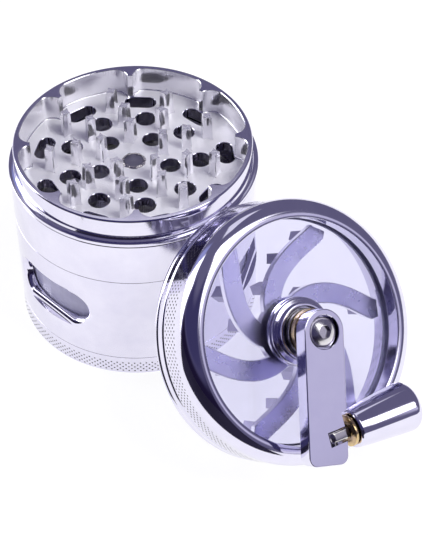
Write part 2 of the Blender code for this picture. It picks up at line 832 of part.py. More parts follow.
def make_knob():
    washer("knob_washer", 3.9, STEM_R + 0.25, 4.2, 5.1, KNOB_FRAME, BRASS, SMALL, 0.2)
    bore = STEM_R + 0.25
    profile = [
        (bore, KNOB_START),
        (bore, 19.0),
        (0, 19.0),
        (0, KNOB_END),
        (KNOB_TIP_R - 1.9, KNOB_END),
        (KNOB_TIP_R - 0.7, KNOB_END - 0.4),
        (KNOB_TIP_R - 0.1, KNOB_END - 1.2),
        (KNOB_TIP_R, KNOB_END - 2.2),
        (KNOB_TIP_R - 0.35, 16.5),
        (KNOB_BASE_R + 0.5, 10.0),
        (KNOB_BASE_R, KNOB_START + 0.5),
        (KNOB_BASE_R - 0.4, KNOB_START),
    ]
    finish(turned("knob", profile, 32, parent=KNOB_FRAME), POLISHED)


make_kief_tray()
make_window_ring()
make_window_sleeve()
make_sieve_ring()
make_mesh_screen()
make_screen_ring()
make_grinding_chamber()
make_chamber_magnet()
make_lid_shell()
make_lid_window()
make_hub_bush()
make_bush_nut()
make_shaft()
make_crank_washers()
make_rotor()
make_rotor_magnet()
make_crank_arm()
make_crank_screw()
make_knob_stud()
make_fold_pin()
make_knob()
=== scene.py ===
"""The looks of the hand-crank grinder: chromed turned pieces, a cast chamber and woven wire mesh.

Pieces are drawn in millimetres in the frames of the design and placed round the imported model. The
stack's axis is +Z through the origin. The lid's frame and the knob's frame come from the joints.
"""

import json
import math

import bmesh
import bpy
from mathutils import Matrix, Vector


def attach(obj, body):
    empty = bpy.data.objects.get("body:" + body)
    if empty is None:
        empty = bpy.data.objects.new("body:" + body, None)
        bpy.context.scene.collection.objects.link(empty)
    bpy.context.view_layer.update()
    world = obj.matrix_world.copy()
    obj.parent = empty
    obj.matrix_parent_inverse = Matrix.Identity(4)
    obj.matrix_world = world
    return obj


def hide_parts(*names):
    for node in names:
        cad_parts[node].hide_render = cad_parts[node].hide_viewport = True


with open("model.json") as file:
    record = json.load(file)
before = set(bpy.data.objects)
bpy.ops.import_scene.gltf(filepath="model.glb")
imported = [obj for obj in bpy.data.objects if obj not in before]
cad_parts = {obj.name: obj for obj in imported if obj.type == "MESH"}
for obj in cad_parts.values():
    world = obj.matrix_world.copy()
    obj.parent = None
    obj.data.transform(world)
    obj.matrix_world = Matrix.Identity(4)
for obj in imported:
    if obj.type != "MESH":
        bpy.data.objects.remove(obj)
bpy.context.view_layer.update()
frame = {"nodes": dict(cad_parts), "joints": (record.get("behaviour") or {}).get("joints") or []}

MM = 0.001
JOINTS = {joint["name"]: joint for joint in frame["joints"]}
STACK = Matrix.Identity(4)
ROUND = 240  # facets round a large turned piece
SMALL = 72  # facets round a small one
EDGE = 0.14  # usual radius of a softened edge
SEAM = 0.05  # the hairline between two rings screwed up tight

# Sizes shared with the design, in millimetres
BODY_R = 31.5
FLANGE_R = 31.7
COLLAR_R = 30.2
SPIGOT_R = 29.6
SOCKET_R = 30.2
INNER_R = 27.4
SPIGOT_LENGTH = 5.2
GAP = 0.3
TRAY_TOP = 6.0
WINDOW_RING_TOP = 33.5
SIEVE_TOP = 45.7
RIM_TOP = 53.2
CHAMBER_FLOOR = 46.0
FLANGE_TOP = 47.1
THREAD_PITCH = 2.0
THREAD_HEIGHT = 0.22
SAME_RADIUS = 0.02  # radii nearer than this are the same wall
LID_R = 32.1
LID_DEPTH = 15.73
CRANK_ANGLE = -24.8

# Knurled bands: staggered rows of small pits
KNURL_PITS = 130
KNURL_ROW = 0.72
KNURL_DEPTH = 0.32
TRAY_KNURL = [1.15 + KNURL_ROW * row for row in range(5)]
LID_KNURL = [-10.2 + KNURL_ROW * row for row in range(7)]


# ---------------------------------------------------------------- camera, light and floor


def add_camera():
    """The camera stands in front and high, and looks 45 degrees down."""
    data = bpy.data.cameras.new("camera")
    data.lens = 106.3
    data.sensor_width = 36
    data.clip_start = 0.01
    camera = bpy.data.objects.new("camera", data)
    camera.location = (0, -0.30381, 0.31125)
    yaw, pitch = math.radians(3.85), math.radians(45.05)
    look = Vector(
        (math.sin(yaw) * math.cos(pitch), math.cos(yaw) * math.cos(pitch), -math.sin(pitch))
    )
    camera.rotation_euler = look.to_track_quat("-Z", "Y").to_euler()
    bpy.context.scene.collection.objects.link(camera)
    bpy.context.scene.camera = camera


def link(tree, *pairs):
    for source, target in pairs:
        tree.links.new(source, target)


def fill(made, values):
    """Sets the node's own sockets."""
    for name, value in values.items():
        made.inputs[name].default_value = value


def node(tree, kind, inputs=None, **settings):
    made = tree.nodes.new(kind)
    for name, value in settings.items():
        setattr(made, name, value)
    fill(made, inputs or {})
    return made


def blank(name):
    """A new material, its node tree and its shader."""
    made = bpy.data.materials.new(name)
    made.use_nodes = True
    return made, made.node_tree, made.node_tree.nodes["Principled BSDF"]


def ramp(tree, source, stops, interpolation="LINEAR"):
    """A colour ramp fed by source, with (position, colour) stops."""
    made = tree.nodes.new("ShaderNodeValToRGB")
    made.color_ramp.interpolation = interpolation
    elements = made.color_ramp.elements
    while len(elements) < len(stops):
        elements.new(0.5)
    for element, (position, colour) in zip(elements, stops):
        element.position = position
        element.color = (*colour, 1)
    tree.links.new(source, made.inputs["Fac"])
    return made.outputs["Color"]


def band(tree, value, low, high, soft):
    """1 where value lies between low and high, in degrees, falling to 0 over soft on each side."""
    rise = node(
        tree,
        "ShaderNodeMapRange",
        {"From Min": math.radians(low - soft), "From Max": math.radians(low + soft)},
        interpolation_type="SMOOTHSTEP",
    )
    fall = node(
        tree,
        "ShaderNodeMapRange",
        {
            "From Min": math.radians(high - soft),
            "From Max": math.radians(high + soft),
            "To Min": 1.0,
            "To Max": 0.0,
        },
        interpolation_type="SMOOTHSTEP",
    )
    both = node(tree, "ShaderNodeMath", operation="MULTIPLY")
    link(
        tree,
        (value, rise.inputs["Value"]),
        (value, fall.inputs["Value"]),
        (rise.outputs["Result"], both.inputs[0]),
        (fall.outputs["Result"], both.inputs[1]),
    )
    return both.outputs["Value"]


# What stands round the object: degrees round from the front (left is positive) and up, the
# softness of the edges, and the light that comes from there
SURROUNDINGS = (
    ((-42, 88), (-40, 27), 5, (0.012, 0.008, 0.030)),
    ((-42, 88), (27, 62), 7, (0.050, 0.045, 0.120)),
    ((-70, -58), (13, 27), 3, (0.60, 0.58, 0.76)),
    ((-69, -56), (27, 36), 3, (3.0, 3.0, 3.0)),
    ((-77, -47), (35, 80), 4, (3.0, 3.0, 3.05)),
    ((95, 128), (-10, 46), 4, (4.0, 4.0, 4.1)),
    ((128, 142), (6, 40), 4, (0.32, 0.34, 0.64)),
    ((163, 220), (43, 72), 2, (0.85, 0.84, 0.95)),
    ((-220, -163), (43, 72), 2, (0.85, 0.84, 0.95)),
)
BACKDROP = (0.14, 0.13, 0.22)
MIX_FIRST, MIX_SECOND, MIX_RESULT = 6, 7, 2  # the colour sockets of a Mix node


def add_world():
    """A dark room with a softbox on each side, which gives chrome its bright and dark bands."""
    world = bpy.data.worlds.new("studio")
    bpy.context.scene.world = world
    world.use_nodes = True
    tree = world.node_tree
    tree.nodes.clear()
    coordinates = node(tree, "ShaderNodeTexCoord")
    split = node(tree, "ShaderNodeSeparateXYZ")
    left = node(tree, "ShaderNodeMath", operation="MULTIPLY")
    left.inputs[1].default_value = -1.0
    front = node(tree, "ShaderNodeMath", operation="MULTIPLY")
    front.inputs[1].default_value = -1.0
    round_angle = node(tree, "ShaderNodeMath", operation="ARCTAN2")
    climb = node(tree, "ShaderNodeMath", operation="ARCSINE")
    link(
        tree,
        (coordinates.outputs["Generated"], split.inputs["Vector"]),
        (split.outputs["X"], left.inputs[0]),
        (split.outputs["Y"], front.inputs[0]),
        (left.outputs["Value"], round_angle.inputs[0]),
        (front.outputs["Value"], round_angle.inputs[1]),
        (split.outputs["Z"], climb.inputs[0]),
    )
    colour = None
    for sides, heights, soft, light in SURROUNDINGS:
        share = node(tree, "ShaderNodeMath", operation="MULTIPLY")
        mix = node(tree, "ShaderNodeMix", data_type="RGBA")
        mix.inputs[MIX_FIRST].default_value = (*BACKDROP, 1)
        mix.inputs[MIX_SECOND].default_value = (*light, 1)
        link(
            tree,
            (band(tree, round_angle.outputs["Value"], *sides, soft), share.inputs[0]),
            (band(tree, climb.outputs["Value"], *heights, soft), share.inputs[1]),
            (share.outputs["Value"], mix.inputs[0]),
        )
        if colour:
            link(tree, (colour, mix.inputs[MIX_FIRST]))
        colour = mix.outputs[MIX_RESULT]
    background = node(tree, "ShaderNodeBackground", {"Strength": 1.0})
    output = node(tree, "ShaderNodeOutputWorld")
    link(
        tree,
        (colour, background.inputs["Color"]),
        (background.outputs["Background"], output.inputs["Surface"]),
    )


def add_key_light():
    """A soft lamp on the right, left out of reflections so that it doesn't whiten the window."""
    data = bpy.data.lights.new("key_light", "AREA")
    data.energy = 2.2
    data.size = 0.28
    lamp = bpy.data.objects.new("key_light", data)
    towards = Vector((0.48, -0.26, 0.84)).normalized()
    lamp.location = Vector((0.02, -0.02, 0.03)) + towards * 0.6
    lamp.rotation_euler = towards.to_track_quat("Z", "Y").to_euler()
    lamp.visible_glossy = False
    lamp.visible_camera = False
    bpy.context.scene.collection.objects.link(lamp)


def add_dark_card():
    """A low dark screen round the front, below the room's dark side, seen only in reflections."""
    centre, reach, height = (0.020, -0.060), 0.078, 0.05
    mesh = bpy.data.meshes.new("dark_card")
    bm = bmesh.new()
    rows_of = []
    for level in (0.0005, height):
        row = []
        for angle in range(180, 309, 8):
            x = centre[0] + reach * math.cos(math.radians(angle))
            y = centre[1] + reach * math.sin(math.radians(angle))
            row.append(bm.verts.new((x, y, level)))
        rows_of.append(row)
    for i in range(len(rows_of[0]) - 1):
        low, high = rows_of
        bm.faces.new((low[i], low[i + 1], high[i + 1], high[i]))
    bm.to_mesh(mesh)
    bm.free()
    card = bpy.data.objects.new("dark_card", mesh)
    card.visible_camera = False
    card.visible_diffuse = False
    card.visible_shadow = False
    card.visible_transmission = False
    bpy.context.scene.collection.objects.link(card)
    made, _, shader = blank("dark_card")
    fill(shader, {"Base Color": (0.012, 0.008, 0.03, 1), "Roughness": 0.9})
    mesh.materials.append(made)


def add_floor():
    mesh = bpy.data.meshes.new("floor")
    bm = bmesh.new()
    bmesh.ops.create_grid(bm, x_segments=1, y_segments=1, size=3)
    bm.to_mesh(mesh)
    bm.free()
    floor = bpy.data.objects.new("floor", mesh)
    floor.location.z = -0.0001
    bpy.context.scene.collection.objects.link(floor)
    made, _, shader = blank("white_floor")
    fill(shader, {"Base Color": (0.20, 0.20, 0.20, 1), "Roughness": 0.9})
    fill(shader, {"Emission Color": (1.0, 1.0, 1.0, 1), "Emission Strength": 0.9})
    mesh.materials.append(made)


# ---------------------------------------------------------------- materials

PATCHES = 90.0  # blotches to the metre on metal
WINDOW_PATCHES = 140.0  # the same on the clear window
MOULDED_PATCHES = 400.0  # and on other plastic
MOULDED_DEPTH = 0.00002  # height of moulded plastic's grain, in metres
TURNED_LINES = (60.0, 60.0, 9000.0)  # lines to the metre along each axis
DRAWN_LINES = (2600.0, 2600.0, 50.0)


def surface_noise(tree, vector, scale, detail=4.0):
    made = node(tree, "ShaderNodeTexNoise", {"Scale": scale, "Detail": detail, "Roughness": 0.6})
    link(tree, (vector, made.inputs["Vector"]))
    return made.outputs["Fac"]


def metal(name, dark, light, smooth, rough, grain, depth, lines=0.0, shine=1.0, upright=False):
    """A metal whose colour and gloss vary in patches, with a grain of bumps and perhaps fine lines.

    grain is the number of bumps to the metre, and depth their height in metres. lines is the height
    of the fine lines that a lathe or a polishing wheel leaves or, with upright, of the drawn lines
    on a casting's walls. shine is under 1 on a skin so coarse that it scatters light every way.
    """
    made, tree, shader = blank(name)
    fill(shader, {"Metallic": shine})
    where = node(tree, "ShaderNodeTexCoord").outputs["Object"]
    patch = surface_noise(tree, where, PATCHES)
    colour = ramp(tree, patch, [(0.3, dark), (0.7, light)])
    gloss = node(
        tree,
        "ShaderNodeMapRange",
        {"From Min": 0.3, "From Max": 0.7, "To Min": smooth, "To Max": rough},
    )
    fine = surface_noise(tree, where, grain, 3.0)
    bump = node(tree, "ShaderNodeBump", {"Distance": depth, "Strength": 1.0})
    link(
        tree,
        (colour, shader.inputs["Base Color"]),
        (patch, gloss.inputs["Value"]),
        (gloss.outputs["Result"], shader.inputs["Roughness"]),
        (fine, bump.inputs["Height"]),
        (bump.outputs["Normal"], shader.inputs["Normal"]),
    )
    if lines:
        scale = DRAWN_LINES if upright else TURNED_LINES
        squeeze = node(tree, "ShaderNodeMapping", {"Scale": scale})
        streak = surface_noise(tree, squeeze.outputs["Vector"], 1.0, 2.0)
        turned_bump = node(tree, "ShaderNodeBump", {"Distance": lines})
        link(
            tree,
            (where, squeeze.inputs["Vector"]),
            (streak, turned_bump.inputs["Height"]),
            (turned_bump.outputs["Normal"], bump.inputs["Normal"]),
        )
    return made


def clear(name, tint, haze):
    """Clear plastic with a few faint rub marks."""
    made, tree, shader = blank(name)
    fill(shader, {"Transmission Weight": 1.0, "IOR": 1.47})
    where = node(tree, "ShaderNodeTexCoord").outputs["Object"]
    patch = surface_noise(tree, where, WINDOW_PATCHES)
    colour = ramp(tree, patch, [(0.3, tint), (0.7, tuple(min(1, c * 1.04) for c in tint))])
    rub = node(
        tree,
        "ShaderNodeMapRange",
        {"From Min": 0.5, "From Max": 0.75, "To Min": 0.0, "To Max": haze},
    )
    link(
        tree,
        (colour, shader.inputs["Base Color"]),
        (patch, rub.inputs["Value"]),
        (rub.outputs["Result"], shader.inputs["Roughness"]),
    )
    return made


def frosted(name, dark, light):
    """Cloudy plastic, which lets light through but no clear picture."""
    made = matt(name, dark, light, 0.28)
    shader = made.node_tree.nodes["Principled BSDF"]
    fill(shader, {"Transmission Weight": 0.35, "IOR": 1.5})
    return made


def matt(name, dark, light, roughness):
    """A plain moulded plastic."""
    made, tree, shader = blank(name)
    fill(shader, {"Roughness": roughness})
    where = node(tree, "ShaderNodeTexCoord").outputs["Object"]
    patch = surface_noise(tree, where, MOULDED_PATCHES)
    bump = node(tree, "ShaderNodeBump", {"Distance": MOULDED_DEPTH})
    link(
        tree,
        (ramp(tree, patch, [(0.3, dark), (0.7, light)]), shader.inputs["Base Color"]),
        (patch, bump.inputs["Height"]),
        (bump.outputs["Normal"], shader.inputs["Normal"]),
    )
    return made


CHROME = metal("chrome", (0.73, 0.71, 0.85), (0.81, 0.79, 0.91), 0.05, 0.11, 900, 2e-6, 1e-6)
SATIN = metal(
    "satin_wall", (0.88, 0.87, 0.92), (0.98, 0.97, 1.0), 0.08, 0.16, 1500, 1.2e-5, 3.5e-5, 0.85, True
)
CAST = metal("cast_floor", (0.86, 0.85, 0.9), (0.99, 0.98, 1.0), 0.34, 0.48, 2600, 9e-5, shine=0.35)
ROTOR = metal("rotor_metal", (0.90, 0.89, 0.96), (0.98, 0.97, 1.0), 0.24, 0.34, 1200, 3e-6)
# Painted shade: a darker copy of the rotor's metal for its teeth, which hang in shade below the
# plate
TOOTH_SHADE = metal("rotor_tooth_painted_shade", (0.34, 0.32, 0.46), (0.5, 0.48, 0.62), 0.3, 0.42, 1200, 2e-5, shine=0.6)
SCREW = metal("screw_head", (0.60, 0.58, 0.60), (0.80, 0.78, 0.80), 0.18, 0.26, 1600, 6e-6, 3e-6)
STEEL = metal("steel", (0.34, 0.32, 0.32), (0.50, 0.48, 0.47), 0.16, 0.30, 1600, 8e-6, 6e-6)
BRIGHT = metal("bright_steel", (0.50, 0.48, 0.47), (0.68, 0.66, 0.65), 0.10, 0.18, 1400, 4e-6)
# Painted shade: the dark colour of the knurl's pits stands for the shade inside them
PIT_SHADE = metal("knurl_pit_painted_shade", (0.06, 0.055, 0.09), (0.16, 0.15, 0.2), 0.4, 0.55, 3000, 4e-6)
BRASS = metal("brass", (0.62, 0.44, 0.20), (0.82, 0.66, 0.40), 0.14, 0.28, 1500, 6e-6, 5e-6)
MAGNET = metal("magnet_face", (0.16, 0.15, 0.21), (0.30, 0.29, 0.36), 0.22, 0.36, 2500, 2e-5)
WIRE = metal("wire", (0.70, 0.68, 0.68), (0.92, 0.90, 0.90), 0.25, 0.4, 3000, 4e-6, shine=0.5)
CLEAR = clear("clear_window", (0.76, 0.75, 0.93), 0.05)
SMOKED = frosted("frosted_sleeve", (0.54, 0.52, 0.78), (0.66, 0.64, 0.90))
GASKET = matt("gasket", (0.45, 0.45, 0.55), (0.6, 0.6, 0.7), 0.5)


# ---------------------------------------------------------------- building pieces


def soften(points, radius=EDGE, steps=3):
    """The closed profile with its corners rounded, apart from corners on the axis."""
    out = []
    count = len(points)
    for index, (x, z) in enumerate(points):
        here = Vector((x, z))
        back = Vector(points[index - 1]) - here
        ahead = Vector(points[(index + 1) % count]) - here
        turn = back.angle(ahead) if back.length and ahead.length else math.pi
        if x == 0 or turn > math.radians(172):
            out.append((x, z))
            continue
        reach = min(radius / math.tan(turn / 2), 0.45 * back.length, 0.45 * ahead.length)
        start = here + back.normalized() * reach
        end = here + ahead.normalized() * reach
        for step in range(steps + 1):
            t = step / steps
            point = start * (1 - t) ** 2 + here * 2 * t * (1 - t) + end * t**2
            out.append(point[:])
    return out


def lathe(name, profile, steps=ROUND, matrix=STACK, shape=None, angles=None):
    """A turned piece from a closed profile of (radius, height); shape(angle, radius, height) gives
    the radius where it isn't plain, and angles the places round it where the steps aren't even."""
    angles = angles or [math.tau * step / steps for step in range(steps)]
    steps = len(angles)
    bm = bmesh.new()
    rings = []
    for radius, height in profile:
        if radius == 0:
            rings.append([bm.verts.new((0, 0, height))] * steps)
            continue
        ring = []
        for angle in angles:
            r = shape(angle, radius, height) if shape else radius
            ring.append(bm.verts.new((r * math.cos(angle), r * math.sin(angle), height)))
        rings.append(ring)
    for first, second in zip(rings, rings[1:] + rings[:1]):
        if first[0] is first[1] and second[0] is second[1]:
            continue
        for step in range(steps):
            after = (step + 1) % steps
            corners = [first[step], first[after], second[after], second[step]]
            unique = list(dict.fromkeys(corners))
            if len(unique) > 2:
                bm.faces.new(unique)
    bmesh.ops.recalc_face_normals(bm, faces=bm.faces)
    return as_object(name, bm, matrix)


def turned_ring(name, outer, inner, low, high, matrix, steps=SMALL, edge=0.15):
    profile = soften([(inner, high), (outer, high), (outer, low), (inner, low)], edge)
    return lathe(name, profile, steps, matrix)


def as_object(name, bm, matrix=STACK):
    """An object from a bmesh drawn in millimetres in the frame that matrix gives."""
    bmesh.ops.scale(bm, vec=(MM, MM, MM), verts=bm.verts)
    bmesh.ops.transform(bm, matrix=matrix, verts=bm.verts)
    mesh = bpy.data.meshes.new(name)
    bm.to_mesh(mesh)
    bm.free()
    made = bpy.data.objects.new(name, mesh)
    bpy.context.scene.collection.objects.link(made)
    return made


def upright_point(x, y, height):
    return Vector((x, y, height))


def prism(bm, sections, matrix=STACK, bend=upright_point):
    """Adds a closed solid through the sections, which are outlines of equal length with heights."""
    rings = [
        [bm.verts.new(matrix @ bend(x, y, height)) for x, y in outline]
        for outline, height in sections
    ]
    faces = [bm.faces.new(rings[0][::-1]), bm.faces.new(rings[-1])]
    for low, high in zip(rings, rings[1:]):
        for i in range(len(low)):
            j = (i + 1) % len(low)
            faces.append(bm.faces.new((low[i], low[j], high[j], high[i])))
    bmesh.ops.recalc_face_normals(bm, faces=faces)


def box(bm, low, high, matrix=STACK):
    (x0, y0, z0), (x1, y1, z1) = low, high
    prism(bm, [([(x0, y0), (x1, y0), (x1, y1), (x0, y1)], z) for z in (z0, z1)], matrix)


def rod(bm, radius, low, high, matrix=STACK, steps=48, edge=0.0):
    """Adds a round bar along Z, with a chamfer of width edge at each end."""
    levels = [(radius - edge, low), (radius - edge, high)]
    if edge:
        levels[1:1] = [(radius, low + edge), (radius, high - edge)]
    prism(bm, [(circle(r, steps), z) for r, z in levels], matrix)


def solid(name, draw, *shape, **settings):
    """An object of one prism, box or rod, which shape and settings describe."""
    bm = bmesh.new()
    draw(bm, *shape, **settings)
    return as_object(name, bm)


def circle(radius, steps=48):
    return arc((0, 0), radius, 0, 360 - 360 / steps, steps - 1)


def arc(centre, radius, start, end, steps):
    return [
        (
            centre[0] + radius * math.cos(math.radians(start + (end - start) * i / steps)),
            centre[1] + radius * math.sin(math.radians(start + (end - start) * i / steps)),
        )
        for i in range(steps + 1)
    ]


def stadium(length, width, steps=16):
    half = (length - width) / 2
    return arc((half, 0), width / 2, -90, 90, steps) + arc((-half, 0), width / 2, 90, 270, steps)


def about_z(degrees):
    return Matrix.Rotation(math.radians(degrees), 4, "Z")


def offset(outline, distance):
    """The outline moved outwards by distance; it runs anticlockwise."""
    out = []
    for index, point in enumerate(outline):
        here = Vector(point)
        before = (here - Vector(outline[index - 1])).normalized()
        after = (Vector(outline[(index + 1) % len(outline)]) - here).normalized()
        along = (before + after).normalized()
        out.append((here + Vector((along.y, -along.x)) * distance)[:])
    return out


def cut(piece, cutter, operation="DIFFERENCE"):
    """Cuts or joins, and removes the cutter."""
    modifier = piece.modifiers.new("cut", "BOOLEAN")
    modifier.operation = operation
    modifier.object = cutter
    modifier.solver = "EXACT"
    settle(piece)
    bpy.data.objects.remove(cutter)


def settle(piece):
    """Applies the piece's modifiers to its mesh."""
    bpy.context.view_layer.update()
    graph = bpy.context.evaluated_depsgraph_get()
    mesh = bpy.data.meshes.new_from_object(piece.evaluated_get(graph))
    piece.modifiers.clear()
    piece.data = mesh


def smooth(piece, angle):
    """Smooth shading apart from edges sharper than angle, with the large flat faces kept flat."""
    piece.data.shade_smooth()
    piece.data.set_sharp_from_angle(angle=math.radians(angle))
    weigh = piece.modifiers.new("flat_faces", "WEIGHTED_NORMAL")
    weigh.keep_sharp = True
    settle(piece)


def show(piece, body, slot, *materials, instead_of=None, sharp=32):
    """Shades the piece, gives it its materials, and makes it ride on its body."""
    smooth(piece, sharp)
    piece.data.materials.clear()
    for each in materials:
        piece.data.materials.append(each)
    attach(piece, body)
    if instead_of:
        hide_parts(instead_of)


def thread(low, high, outward):
    """The ridge of a right-handed thread between two heights, standing out or in."""

    def shape(angle, radius, height):
        base = SPIGOT_R if outward else SOCKET_R
        if abs(radius - base) > SAME_RADIUS or not low < height < high:
            return radius
        phase = (height / THREAD_PITCH - angle / math.tau) % 1
        ridge = min(1, max(0, 1.6 - abs(phase - 0.5) * 5))
        return radius + (THREAD_HEIGHT if outward else -THREAD_HEIGHT) * ridge

    return shape


def rows(start, end, count):
    """Heights from start to end, both ends left out."""
    return [start + (end - start) * i / count for i in range(1, count)]


# Shares of a pitch: a pit and its two sides, then those of the pit in the next row
KNURL_STEPS = (0.0, 0.13, 0.37, 0.5, 0.63, 0.87)
KNURL_ANGLES = [
    math.tau * (pit + share) / KNURL_PITS for pit in range(KNURL_PITS) for share in KNURL_STEPS
]


def knurl(rows_at, radius_at):
    """Staggered pits in a band; each pit is one sunk vertex, at a whole or a half pitch."""
    pits = {round(height, 3): index for index, height in enumerate(rows_at)}

    def shape(angle, radius, height):
        row = pits.get(round(height, 3))
        if row is None or abs(radius - radius_at) > SAME_RADIUS:
            return radius
        along = (angle / math.tau * KNURL_PITS + 0.5 * (row % 2) + 0.25) % 1
        return radius - KNURL_DEPTH if 0.2 < along < 0.3 else radius

    return shape


def knurl_heights(rows_at):
    """Each row of pits with a plain ring above and below it, from the top down."""
    rings = []
    for height in sorted(rows_at, reverse=True):
        rings += [height + 0.2, height, height - 0.2]
    return rings


def paint_pit_shade(piece, matrix, radius_at, low, high):
    """Gives the second material, a painted shade for the dark inside each pit, to the faces that run
    down into the knurl's pits.
    """
    back = matrix.inverted()
    sunk = set()
    for vertex in piece.data.vertices:
        x, y, z = (back @ vertex.co) / MM
        if low < z < high and radius_at - 1.5 * KNURL_DEPTH < math.hypot(x, y) < radius_at - 0.1:
            sunk.add(vertex.index)
    for face in piece.data.polygons:
        if sunk.intersection(face.vertices):
            face.material_index = 1


# ---------------------------------------------------------------- the stack


def make_tray():
    spigot_top = TRAY_TOP + SPIGOT_LENGTH - 2 * GAP
    spigot = rows(spigot_top - 0.5, TRAY_TOP + 0.3, 16)
    outline = soften(
        [
            (0, 1.6),
            (26.2, 1.6),
            (27.0, 1.9),
            (INNER_R, 2.8),
            (INNER_R, spigot_top),
            (SPIGOT_R - 0.4, spigot_top),
            (SPIGOT_R, spigot_top - 0.4),
        ],
        0.2,
    )[:-1]
    outline[0] = (0, 1.6)
    outline += [(SPIGOT_R, height) for height in spigot]
    outline += soften(
        [(SPIGOT_R, TRAY_TOP + 0.3), (SPIGOT_R, TRAY_TOP), (BODY_R, TRAY_TOP), (BODY_R, 5.5)], 0.12
    )[4:-4]
    outline += [(BODY_R, height) for height in knurl_heights(TRAY_KNURL)]
    outline += arc((BODY_R - 0.5, 0.5), 0.5, 0, -90, 5)
    outline += [(0, 0)]
    ridge = thread(TRAY_TOP + 0.4, spigot_top - 0.6, True)
    pits = knurl(TRAY_KNURL, BODY_R)

    def shape(angle, radius, height):
        return pits(angle, ridge(angle, radius, height), height)

    tray = lathe("kief_tray_finish", outline, shape=shape, angles=KNURL_ANGLES)
    # The second material is the painted shade in the knurl's pits
    show(tray, "tray", "polished_zinc", CHROME, PIT_SHADE, instead_of="kief_tray", sharp=40)
    paint_pit_shade(tray, STACK, BODY_R, TRAY_KNURL[0] - 0.1, TRAY_KNURL[-1] + 0.1)


WINDOW_COUNT = 3
WINDOW_ANGLE = -138.5
WINDOW_LOW = 14.7
WINDOW_HIGH = 26.0
WINDOW_HALF_ANGLE = 24.5
WINDOW_ROUNDING = 1.6  # radius of the rolled edge of a side window
WINDOW_SPREAD = 0.7  # how far the rolled edge reaches past the slot
SLEEVE_OUTER_R = 28.9


def round_the_wall(x, y, depth):
    """Wraps an outline round the body's wall: x runs along the wall, and depth is the radius."""
    return Vector((depth * math.sin(x / BODY_R), y, depth * math.cos(x / BODY_R)))


def make_window_ring():
    low = TRAY_TOP + SEAM
    lower_ledge = TRAY_TOP + SPIGOT_LENGTH
    upper_ledge = WINDOW_RING_TOP - SPIGOT_LENGTH - 2 * GAP
    profile = soften(
        [
            (SOCKET_R, WINDOW_RING_TOP),
            (BODY_R, WINDOW_RING_TOP),
            (BODY_R, low),
            (SOCKET_R, low),
            (SOCKET_R, lower_ledge),
            (SLEEVE_OUTER_R + GAP, lower_ledge),
            (SLEEVE_OUTER_R + GAP, upper_ledge),
            (SOCKET_R, upper_ledge),
        ],
        0.08,
    )
    ring = lathe("window_ring_finish", profile)
    height = WINDOW_HIGH - WINDOW_LOW
    length = 2 * BODY_R * math.radians(WINDOW_HALF_ANGLE)
    upright = Matrix.Translation((0, 0, (WINDOW_LOW + WINDOW_HIGH) / 2)) @ Matrix.Rotation(
        math.radians(90), 4, "X"
    )
    rolled = [
        (
            WINDOW_SPREAD - WINDOW_ROUNDING * math.cos(math.radians(a)),
            BODY_R - WINDOW_ROUNDING * (1 - math.sin(math.radians(a))),
        )
        for a in range(0, 91, 15)
    ]
    flare = [(rolled[0][0], 22.0), *rolled, (WINDOW_SPREAD + 0.5, 34.0)]
    sections = [(stadium(length + 2 * grow, height + 2 * grow, 20), depth) for grow, depth in flare]
    for index in range(WINDOW_COUNT):
        turn = about_z(WINDOW_ANGLE + 90 + index * 360 / WINDOW_COUNT) @ upright
        cut(ring, solid("window_slot", prism, sections, turn, round_the_wall))
    show(ring, "window_ring", "polished_zinc", CHROME, instead_of="window_ring")


SCREEN_LEDGE = WINDOW_RING_TOP - SPIGOT_LENGTH + 0.8
SCREEN_OPENING_R = 25.8
SCREEN_R = INNER_R - GAP


def make_sieve_ring():
    shoulder = WINDOW_RING_TOP + SEAM
    low = WINDOW_RING_TOP - SPIGOT_LENGTH
    ledge = SIEVE_TOP - SPIGOT_LENGTH - GAP
    spigot = rows(shoulder - 0.3, low + 0.5, 16)
    profile = soften(
        [(SOCKET_R, SIEVE_TOP), (BODY_R, SIEVE_TOP), (BODY_R, shoulder), (SPIGOT_R, shoulder)]
    )[2:-2]
    profile += [(SPIGOT_R, height) for height in spigot]
    profile += soften(
        [
            (SPIGOT_R, low + 0.4),
            (SPIGOT_R - 0.4, low),
            (SCREEN_OPENING_R, low),
            (SCREEN_OPENING_R, SCREEN_LEDGE),
            (INNER_R, SCREEN_LEDGE),
            (INNER_R, ledge),
            (SOCKET_R, ledge),
        ]
    )
    profile += [(SOCKET_R, height) for height in rows(ledge + 0.3, SIEVE_TOP - 0.3, 16)]
    outer = thread(low + 0.6, shoulder - 0.4, True)
    inner = thread(ledge + 0.5, SIEVE_TOP - 0.5, False)

    def shape(angle, radius, height):
        return inner(angle, outer(angle, radius, height), height)

    ring = lathe("sieve_ring_finish", profile, shape=shape)
    show(ring, "sieve_ring", "polished_zinc", CHROME, instead_of="sieve_ring")


WIRE_PITCH = 0.48
WIRE_R = 0.1


